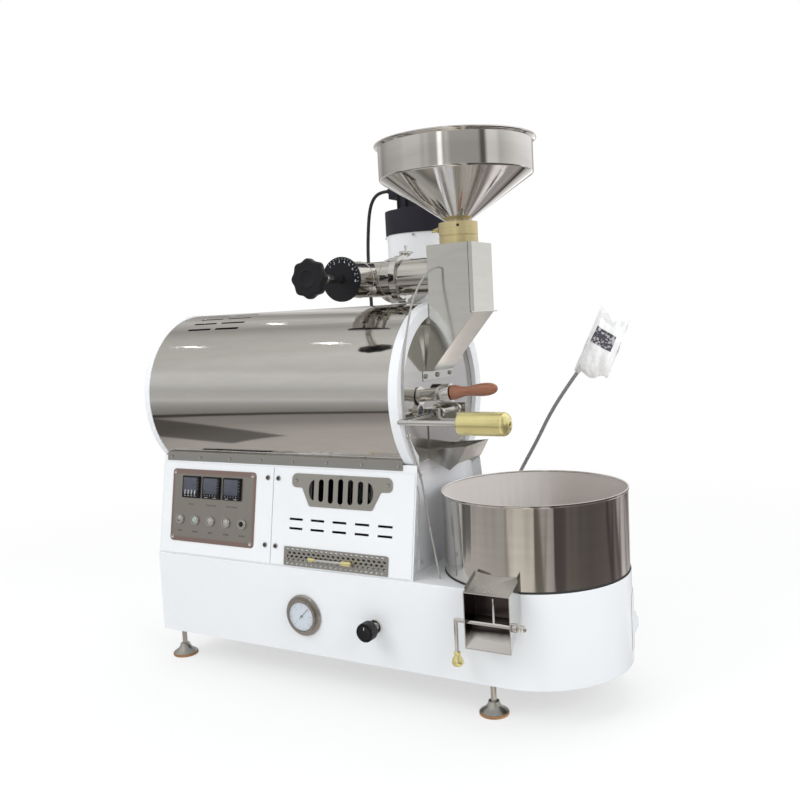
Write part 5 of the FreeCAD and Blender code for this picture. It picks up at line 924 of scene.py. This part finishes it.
spout_steel = satin_steel("spout_steel", (0.62, 0.605, 0.58), 0.20)
dressed("discharge_lever", bright_steel, 0.0)
dressed("discharge_door", plate_steel, 0.0004)
dressed("discharge_spout", spout_steel, 0.0004)
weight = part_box("discharge_weight")
weight_y = (weight[0].y + weight[1].y) / 2
weight_z = (weight[0].z + weight[1].z) / 2
length = weight[1].x - weight[0].x
piece("weight_grip", spun([
    (0, 0), (0.0175, 0), (0.0196, 0.0006), (0.0207, 0.0018), (0.021, 0.0034), (0.021, length - 0.0135),
    (0.0206, length - 0.0098), (0.0190, length - 0.0060), (0.0155, length - 0.0026), (0.0100, length - 0.0007),
    (0.0048, length), (0.0042, length - 0.0004), (0.0040, length - 0.004), (0, length - 0.004)],
    (weight[0].x, weight_y, weight_z), (1, 0, 0), 72), "discharge", brass, 40, stands_for=("discharge_weight",))
hub = facing((weight[1].x - 0.004, weight_y, weight_z), (1, 0, 0))
piece("weight_slot", strokes([(0, 0, math.radians(35))], (0.0078, 0.0018), 0.0012, hub), "discharge", ink)

# ---------------------------------------------------------------- drum, burner and what lies inside
# Cast drum, bearings, gear motor and burner are hidden behind the plates; they show through open
# doors only, in plain blackened iron or dark metal.

iron = Finish("blackened_iron", "castiron", (0.055, 0.05, 0.047), 0.6, 0.7)
rust = iron.grain(30.0, detail=5.0)
iron.put("Base Color", iron.blend(rust, (0.075, 0.068, 0.062), (0.03, 0.027, 0.025)))
iron.bump(iron.grain(260.0, detail=4.0), 0.4, 0.0006)
dark_metal = Finish("dark_metal", "blackmetal", (0.024, 0.022, 0.032), 0.55, specular_ior_level=0.3)
scuffs = dark_metal.grain(12.0, detail=4.0)
dark_metal.put("Base Color", dark_metal.blend(scuffs, (0.030, 0.027, 0.040), (0.016, 0.015, 0.022)))
dark_metal.put("Roughness", 0.45 + 0.2 * scuffs)
dark_metal.bump(dark_metal.grain(650.0), 0.2, 0.0004)
for node in ("drum", "drum_bearings", "burner"):
    dressed(node, iron, 0.0)
for node in ("drive_motor", "tray_works"):
    dressed(node, dark_metal, 0.0)

# ---------------------------------------------------------------- chute, hopper and feed gate
# The chute is a welded box of grey-beige stainless with crisp corners; the hopper is a spun mirror
# funnel with a rolled rim, standing in a solid brass collar whose gate turns by a thumb lever.

chute_steel = mirror_steel("chute_steel", (0.76, 0.76, 0.72), 0.12)
dressed("chute", chute_steel, 0.0006)
chute_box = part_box("chute")
chute_front = chute_box[0].y
chute_right = chute_box[1].x
weld = satin_steel("weld", (0.86, 0.85, 0.82), 0.3, (300, 300, 300))
kink_z = 0.745
seam_z = (kink_z + chute_box[1].z) / 2
piece("chute_seam", strokes([(-0.0016, 0, 0)], (0.0010, chute_box[1].z - kink_z - 0.001), 0.0002, facing(
    (chute_right, chute_front, seam_z), (0, -1, 0))), "machine", ink)
piece("chute_weld", spun([(0.0011, 0), (0.0011, -2 * chute_front)], (chute_right, chute_front, kink_z),
                         (0, 1, 0), 12), "machine", weld, 60)
flange_bolts = [facing((plate_face + 0.0015, y, 0.6235), (1, 0, 0)) for y in (-0.050, 0.0, 0.055)]
screws("flange_bolts", flange_bolts, 0.005, 0.0035, "machine", turned_steel, 0.4)

hopper_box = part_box("hopper")
hopper_x = (hopper_box[0].x + hopper_box[1].x) / 2
rim_z = hopper_box[1].z
hopper_steel = mirror_steel("hopper_steel", (0.79, 0.77, 0.745), 0.07)
piece("hopper_funnel", spun([
    (0.0276, 0.913), (0.0276, 0.9235), (0.0285, 0.9252), (0.1480, 1.0045), (0.1496, 1.0062), (0.1500, 1.0085),
    (0.1500, rim_z - 0.0075), (0.1512, rim_z - 0.0062), (0.1545, rim_z - 0.0056), (0.1564, rim_z - 0.0042),
    (0.1570, rim_z - 0.0026), (0.1563, rim_z - 0.0010), (0.1545, rim_z), (0.1515, rim_z - 0.0003),
    (0.1494, rim_z - 0.0018), (0.1488, rim_z - 0.0050), (0.1488, 1.0085), (0.1480, 1.0066), (0.0276, 0.9265),
    (0.0264, 0.9240), (0.0264, 0.913), (0.0276, 0.913)], (hopper_x, 0, 0), (0, 0, 1), 128), "machine",
    hopper_steel, 42, stands_for=("hopper",))
dull_brass = Finish("dull_brass", "brass", (0.70, 0.60, 0.33), 0.36, 0.75)
turning = dull_brass.grain(1.0, (4, 4, 900), 3.0)
dull_brass.put("Base Color", dull_brass.blend(turning, (0.80, 0.70, 0.40), (0.58, 0.48, 0.25)))
dull_brass.put("Roughness", 0.30 + 0.14 * turning)
dressed("hopper_collar", dull_brass, 0.0005)

# The gate's thumb piece is drawn in to a stud that carries a bright finger ring.
gate_z = 0.908
gate = bmesh.new()
gate.from_mesh(frame["nodes"]["feed_gate"].data)
bmesh.ops.remove_doubles(gate, verts=gate.verts, dist=0.000002)
for vert in gate.verts:
    if vert.co.x < hopper_x - 0.042:
        vert.co.y *= 0.35
        vert.co.z = gate_z + (vert.co.z - gate_z) * 0.35
piece("gate_made", gate, "feed_gate", dull_brass, 32, 0.0005, ("feed_gate",))
eye = [(0.0066 + 0.0020 * math.cos(a), 0.0020 * math.sin(a)) for a in (math.tau * k / 16 for k in range(17))]
piece("gate_eye", spun(eye, (hopper_x - 0.0500, -0.001, gate_z + 0.001), (-0.1, -0.42, 0.9), 40), "feed_gate",
      brass, 80)
collar_hole = facing((hopper_x + 0.016, -0.0344, 0.912), (0.42, -0.907, 0))
piece("collar_screw", round_head(collar_hole, 0.0028, 0.0006, socket=0.75), "machine", ink, 40)

# ---------------------------------------------------------------- exhaust pipe, clamp and damper
# A polished tee carries the fumes from the chute to the cyclone, with raised weld seams and a swing
# bolt clamp; its front end is capped by a black numbered dial and a star knob on a bright shaft.

pipe_steel = mirror_steel("pipe_steel", (0.72, 0.70, 0.665), 0.13)
dressed("exhaust_tee", pipe_steel, 0.0004)
dressed("pipe_clamp", bright_steel, 0.0006)
pipe_x, pipe_z, pipe_radius = -0.015, 0.822, 0.036
knob_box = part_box("damper_knob")

clamp_x, clamp_z = 0.057, pipe_z + 0.049
piece("clamp_point", spun([(0.0034, 0), (0.0036, 0.012), (0.0028, 0.014), (0.0008, 0.023), (0, 0.0232)],
                          (clamp_x + 0.006, 0.002, clamp_z), (1, 0, 0), 24), "machine", bright_steel, 40)
hinge_lug = bmesh.new()
lug_seat = Matrix.Translation((clamp_x + 0.004, -0.0345, pipe_z - 0.0345)) @ Matrix.Rotation(math.radians(45), 4, "X")
bmesh.ops.create_cube(hinge_lug, size=1, matrix=lug_seat @ Matrix.Diagonal((0.016, 0.013, 0.009, 1)))
piece("clamp_hinge", hinge_lug, "machine", gauge_steel, 40, 0.0015)
piece("clamp_hinge_slots", strokes([(x, 0, math.radians(90)) for x in (-0.003, 0.003)], (0.008, 0.0022), 0.0012,
                                   facing((clamp_x + 0.004, -0.0392, pipe_z - 0.0392), (0, -1, -1))), "machine", ink)

piece("pipe_welds", joined(
    bead((0.024, 0, pipe_z), (1, 0, 0), pipe_radius), bead((pipe_x, -0.050, pipe_z), (0, 1, 0), pipe_radius),
    bead((0.1395, 0, pipe_z), (1, 0, 0), pipe_radius, 0.0016)), "machine", weld, 80)
dressed("damper_dial", black_plastic, 0.0008)
dressed("damper_valve", bright_steel, 0.0)
dial = facing((pipe_x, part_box("damper_dial")[0].y, pipe_z), (0, -1, 0))
dial_angles = [math.radians(132 - 20 * k) for k in range(8)]
ticks = [math.radians(132 - 10 * k) for k in range(15)]
piece("damper_figures", joined(
    lettered([(str(k + 1), 0.0345 * math.cos(a), 0.0345 * math.sin(a)) for k, a in enumerate(dial_angles)],
             0.0068, 0.0002, dial @ Matrix.Translation((0, 0, 0.0001))),
    strokes([(0.0405 * math.cos(a), 0.0405 * math.sin(a), a) for a in ticks], (0.0028, 0.0006), 0.0002, dial)),
    "machine", dial_white)

# The star knob: a disc drawn out into eight lobes, dished in front and rounded over its edge.
knob_y = knob_box[0].y
knob_depth = 0.018
knob_radius = (knob_box[1].x - knob_box[0].x) / 2
star = lobed(knob_radius, knob_depth, 8, 0.05, 0.0046, 12)
top = max(star.faces, key=lambda face: face.calc_center_median().z)
bmesh.ops.inset_region(star, faces=[top], thickness=0.0008)
bmesh.ops.transform(star, matrix=facing((pipe_x, knob_y + knob_depth, pipe_z), (0, -1, 0)), verts=star.verts)
neck = spun([(0, 0), (0.0160, 0), (0.0155, 0.003), (0.0132, 0.006), (0, 0.006)],
            (pipe_x, knob_y + knob_depth, pipe_z), (0, 1, 0), 48)
cap = spun([(0, 0.0001), (0.0150, 0.0001), (0.0160, 0.0006), (0.0175, 0.0006), (0.0185, 0)],
           (pipe_x, knob_y, pipe_z), (0, -1, 0), 64)
piece("star_knob", joined(star, neck, cap), "damper", black_plastic, 50, stands_for=("damper_knob",))
piece("knob_shaft", spun([(0, 0), (0.0078, 0), (0.0084, 0.0006), (0.0084, 0.0870), (0, 0.0870)],
                         (pipe_x, knob_y + 0.0235, pipe_z), (0, 1, 0), 40), "damper", bright_steel, 40)

# ---------------------------------------------------------------- cyclone and fan
# The cyclone is white coated sheet; on top sits a charcoal band with the fan wheel and a finned
# dark grey motor with its terminal box.

# Painted light: the cyclone's coat is a lighter copy of the white coat, which lifts its shaded side.
cyclone_painted_light_white = powder_coat("cyclone_painted_light_white", (0.93, 0.94, 0.96))
dressed("cyclone_body", cyclone_painted_light_white, 0.0006)
dressed("fan_housing", dark_metal, 0.0008)
dressed("fan_wheel", dark_metal, 0.0)
dressed("fan_motor", dark_metal, 0.0008)
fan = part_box("fan_housing")
cyclone_x, cyclone_y, cyclone_radius = pipe_x, 0.25, 0.0935
screws("band_screws", [facing((cyclone_x + cyclone_radius * math.cos(a), cyclone_y + cyclone_radius * math.sin(a),
                               fan[0].z - 0.006), (math.cos(a), math.sin(a), 0))
                       for a in (math.radians(-80 + 60 * k) for k in range(6))], 0.003, 0.0015, "machine", turned_steel)

# ---------------------------------------------------------------- cooling tray and agitator
# The tray is a rolled mirror wall with a rounded rim and a slotted satin floor; a three-armed
# stirrer turns over the floor on a hub.

tray_steel = mirror_steel("tray_steel", (0.72, 0.70, 0.67), 0.085)
floor_steel = satin_steel("floor_steel", (0.60, 0.585, 0.55), 0.28, (400, 400, 3))
inner_steel = satin_steel("inner_steel", (0.74, 0.69, 0.65), 0.36, (2, 2, 900))
# Painted light: the inside of the wall is lightened towards its far (-X) side, as though lit there.
painted_lit_far_wall = inner_steel.add("MapRange", {"Value": inner_steel.own("X"), "From Min": 0.345, "From Max": 0.225},
                         interpolation_type="SMOOTHSTEP")
inner_steel.put("Base Color", inner_steel.blend(painted_lit_far_wall, inner_steel.reads("Base Color"), (0.94, 0.90, 0.88)))
inner_steel.put("Metallic", 0.3)
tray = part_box("tray_wall")
tray_radius = 0.177


def inside_tray(point):
    """1 on the satin inner side of the wall."""
    return int(math.hypot(point.x - nose_x, point.y) < tray_radius - 0.0012)


dressed("tray_wall", [tray_steel, inner_steel], 0.0003, choose=inside_tray)
dressed("tray_floor", floor_steel, 0.0003)
dressed("agitator", spout_steel, 0.0006)
piece("tray_rim", bead((nose_x, 0, tray[1].z - 0.0019), (0, 0, 1), tray_radius - 0.0004, 0.0019), "machine",
      bright_steel, 80)
seal = Finish("tray_seal", "rubber", (0.03, 0.03, 0.03), 0.6)
seal.put("Roughness", 0.5 + 0.2 * seal.grain(200.0))
seal_top, seal_bore = deck + 0.0034, tray_radius - 0.006
piece("tray_seal", spun([(seal_bore, deck), (tray_radius + 0.0014, deck), (tray_radius + 0.0010, seal_top),
                         (seal_bore, seal_top), (seal_bore, deck)], (nose_x, 0, 0), steps=128), "machine", seal, 40)

# ---------------------------------------------------------------- discharge box and tray lever
# A hooded stainless box on the tray's front guides the cooled beans down; its gate is worked by a
# bent steel rod that ends in a brass ball, with an acorn nut at the other end.

box_low, box_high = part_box("discharge_box")
box_steel = mirror_steel("box_steel", (0.78, 0.765, 0.745), 0.20)
# Painted shade: inside the box the steel is dark above a ragged line at about 0.18 m and plain steel below it.
shaded = Finish("shaded_steel", "steel", (0.10, 0.085, 0.085), 0.28, 1.0)
painted_shade_above = shaded.add("MapRange", {"Value": shaded.own("Z") + 0.006 * shaded.grain(60.0),
                               "From Min": 0.185, "From Max": 0.172})
shaded.put("Base Color", shaded.blend(painted_shade_above, (0.09, 0.075, 0.075), (0.72, 0.70, 0.69)))
roof_fall, roof_z = 0.43, 0.256


def inside_box(point):
    """1 on the walls, roof and ramp that only the inside of the box shows."""
    roof = roof_z + roof_fall * (point.y - box_low.y)
    between = box_low.x + 0.0012 < point.x < box_high.x - 0.0012
    return int(between and point.z < roof - 0.0009 and point.y > box_low.y + 0.0006)


dressed("discharge_box", [box_steel, shaded], 0.0004, choose=inside_box)
dressed("tray_gate", spout_steel, 0.0003)
ears = []
for x, y, length, rise in ((box_low.x + 0.0008, -0.1965, 0.048, 0.0022),
                           (box_high.x - 0.0008, -0.1805, 0.012, 0.0042)):
    ear = bmesh.new()
    seat = Matrix.Translation((x, y, roof_z + roof_fall * (y - box_low.y) + rise))
    fallen = Matrix.Rotation(math.atan(roof_fall), 4, "X")
    bmesh.ops.create_cube(ear, size=1, matrix=seat @ fallen @ Matrix.Diagonal((0.0016, length, 2 * rise, 1)))
    ears.append(ear)
piece("box_ears", joined(*ears), "machine", gauge_steel, 40, 0.0004)
piece("box_rivets", joined(*[bead((box_low.x + along, box_low.y + 0.006, 0.2592), (0, -roof_fall, 1), 0.0014, 0.0010)
                             for along in (0.040, 0.052)]), "machine", weld, 60)


brass_top = 0.1345


def near_ball(point):
    """1 on the brass end of the rod."""
    return int(point.z < brass_top)


dressed("tray_lever", [bright_steel, brass], 0.0, choose=near_ball)
lever_x = box_low.x - 0.022
lever_y, lever_z = -0.214, 0.200
piece("ball_bell", spun([
    (0, 0.1140), (0.0050, 0.1146), (0.0088, 0.1165), (0.0106, 0.1195), (0.0109, 0.1225), (0.0103, 0.1260),
    (0.0085, 0.1300), (0.0062, 0.1335), (0.0054, 0.1365), (0.0066, 0.1378), (0.0068, 0.1405), (0.0046, 0.1425)],
    (lever_x, lever_y, 0), (0, 0, 1), 48), "tray_lever", brass, 50)
piece("acorn_nut", joined(
    nut((box_high.x + 0.0102, lever_y, lever_z), 0.0072, 0.006, axis=(1, 0, 0)),
    spun([(0.0060, 0.006), (0.0062, 0.009), (0.0048, 0.0128), (0.0025, 0.0146), (0, 0.015)],
         (box_high.x + 0.0102, lever_y, lever_z), (1, 0, 0), 32)), "tray_lever", bright_steel, 40)

# ---------------------------------------------------------------- lamp
# A bench lamp on a grey gooseneck whose foot is screwed to the deck; its head is still in the clear
# plastic bag it came in, with a plain dark sticker.

goose_grey = Finish("goose_grey", "blackmetal", (0.36, 0.36, 0.37), 0.38, 0.6)
rings = goose_grey.add("TexWave", {"Vector": goose_grey.add("TexCoord", out="Object"), "Scale": 95.0},
                       bands_direction="Z")
goose_grey.put("Base Color", goose_grey.blend(rings, (0.42, 0.42, 0.43), (0.30, 0.30, 0.31)))
goose_grey.bump(rings, 0.2, 0.0004)
dressed("lamp_foot", goose_grey, 0.0005)
lamp_y = 0.165
lamp_root = Vector((0.180, lamp_y, deck))
neck_route = [lamp_root + Vector(offset) for offset in (
    (0, 0, 0.0172), (0.001, 0, 0.030), (0.004, 0, 0.060), (0.028, 0, 0.112), (0.058, 0, 0.166), (0.091, 0, 0.220),
    (0.121, 0, 0.276), (0.155, 0, 0.326), (0.186, 0, 0.366))]
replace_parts(laid("gooseneck", neck_route, 0.0078, goose_grey, "lamp"), "lamp_arm")
ball = [(0.0046 * math.cos(a), 0.0046 * math.sin(a)) for a in (math.radians(-90 + 15 * k) for k in range(13))]
piece("neck_knuckle", spun(ball, neck_route[0], (0, 0, 1), 32), "lamp", goose_grey, 60)
head_at = neck_route[-1]
head_axis = (neck_route[-1] - neck_route[-2]).normalized()
head_grey = Finish("head_grey", "blackmetal", (0.66, 0.65, 0.64), 0.4, 0.2)
head_grey.put("Base Color", head_grey.blend(head_grey.grain(40.0), (0.72, 0.71, 0.70), (0.58, 0.57, 0.56)))
piece("lamp_head", spun([(0, -0.004), (0.0046, -0.002), (0.0060, 0.006), (0.0070, 0.030), (0.0076, 0.046),
                         (0.0062, 0.046), (0.0055, 0.034), (0, 0.032)], head_at, head_axis, 40), "lamp", head_grey, 40)

clear_bag = Finish("clear_bag", "bag", (0.93, 0.92, 0.91), 0.22, alpha=0.8, coat_weight=0.6)
creases = clear_bag.grain(38.0, (1, 1, 0.7), 5.0)
inner_shade = clear_bag.add("MapRange", {"Value": clear_bag.own("Z"), "From Min": 0.655, "From Max": 0.610})
clear_bag.put("Base Color", clear_bag.blend(inner_shade * (0.3 + 0.7 * creases), (0.97, 0.97, 0.97),
                                            (0.84, 0.82, 0.80)))
clear_bag.put("Alpha", 0.78 + 0.3 * creases)
clear_bag.put("Roughness", 0.12 + 0.3 * creases)
clear_bag.bump(creases, 0.9, 0.006)
sticker = Finish("sticker", "bag", (0.12, 0.12, 0.14), 0.5)
sticker.put("Base Color", sticker.blend(sticker.grain(210.0, detail=3.0) > 0.55, (0.07, 0.065, 0.085),
                                        (0.50, 0.48, 0.49)))

bag_corners = [Vector((0.357, 0, 0.613)), Vector((0.427, 0, 0.596)), Vector((0.475, 0, 0.716)),
               Vector((0.418, 0, 0.741))]


def bag_point(across, up, side):
    """A point of the bag's front (-1) or back (1) film; it is puffed out and drawn in at the edges."""
    low = bag_corners[0].lerp(bag_corners[1], across)
    high = bag_corners[3].lerp(bag_corners[2], across)
    point = low.lerp(high, up)
    puff = (1 - (2 * across - 1) ** 4) * (0.25 + 0.75 * math.sin(math.pi * min(1, up * 1.15)) ** 0.6)
    crease = noise.noise(Vector((across * 5.5, up * 3.5, 3.0 + side)))
    ragged = 0.009 * noise.noise(Vector((across * 7, 1.7, 0.3))) * max(0, up - 0.8) * 5
    notch = -0.020 * max(0, 1 - abs(across - 0.50) / 0.42) * max(0, up - 0.75) * 4
    hem = 0.005 * math.sin(9 * across) * max(0, 0.2 - up) * 5
    return point + Vector((0.003 * crease, lamp_y + side * (0.0105 * puff + 0.0035 * crease), ragged + notch + hem))


def film(name, across, up, cells, lift, paint, sides=(-1, 1), lean=0):
    """Part of the bag's film as a fine grid for each side."""
    shapes = []
    for side in sides:
        cloth = bmesh.new()
        bmesh.ops.create_grid(cloth, x_segments=cells[0], y_segments=cells[1], size=0.5)
        for vert in cloth.verts:
            s = across[0] + (across[1] - across[0]) * (vert.co.x + 0.5)
            t = up[0] + (up[1] - up[0]) * (vert.co.y + 0.5) - lean * vert.co.x
            vert.co = bag_point(s, t, side) + Vector((0, side * lift, 0))
        if side > 0:
            bmesh.ops.reverse_faces(cloth, faces=cloth.faces)
        shapes.append(cloth)
    return piece(name, joined(*shapes), "lamp", paint, 80)


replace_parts(film("bag_film", (0, 1), (0, 1), (30, 46), 0, clear_bag), "lamp_bag")
film("bag_sticker", (0.15, 0.84), (0.47, 0.71), (24, 24), 0.0006, sticker, (-1,), 0.07)
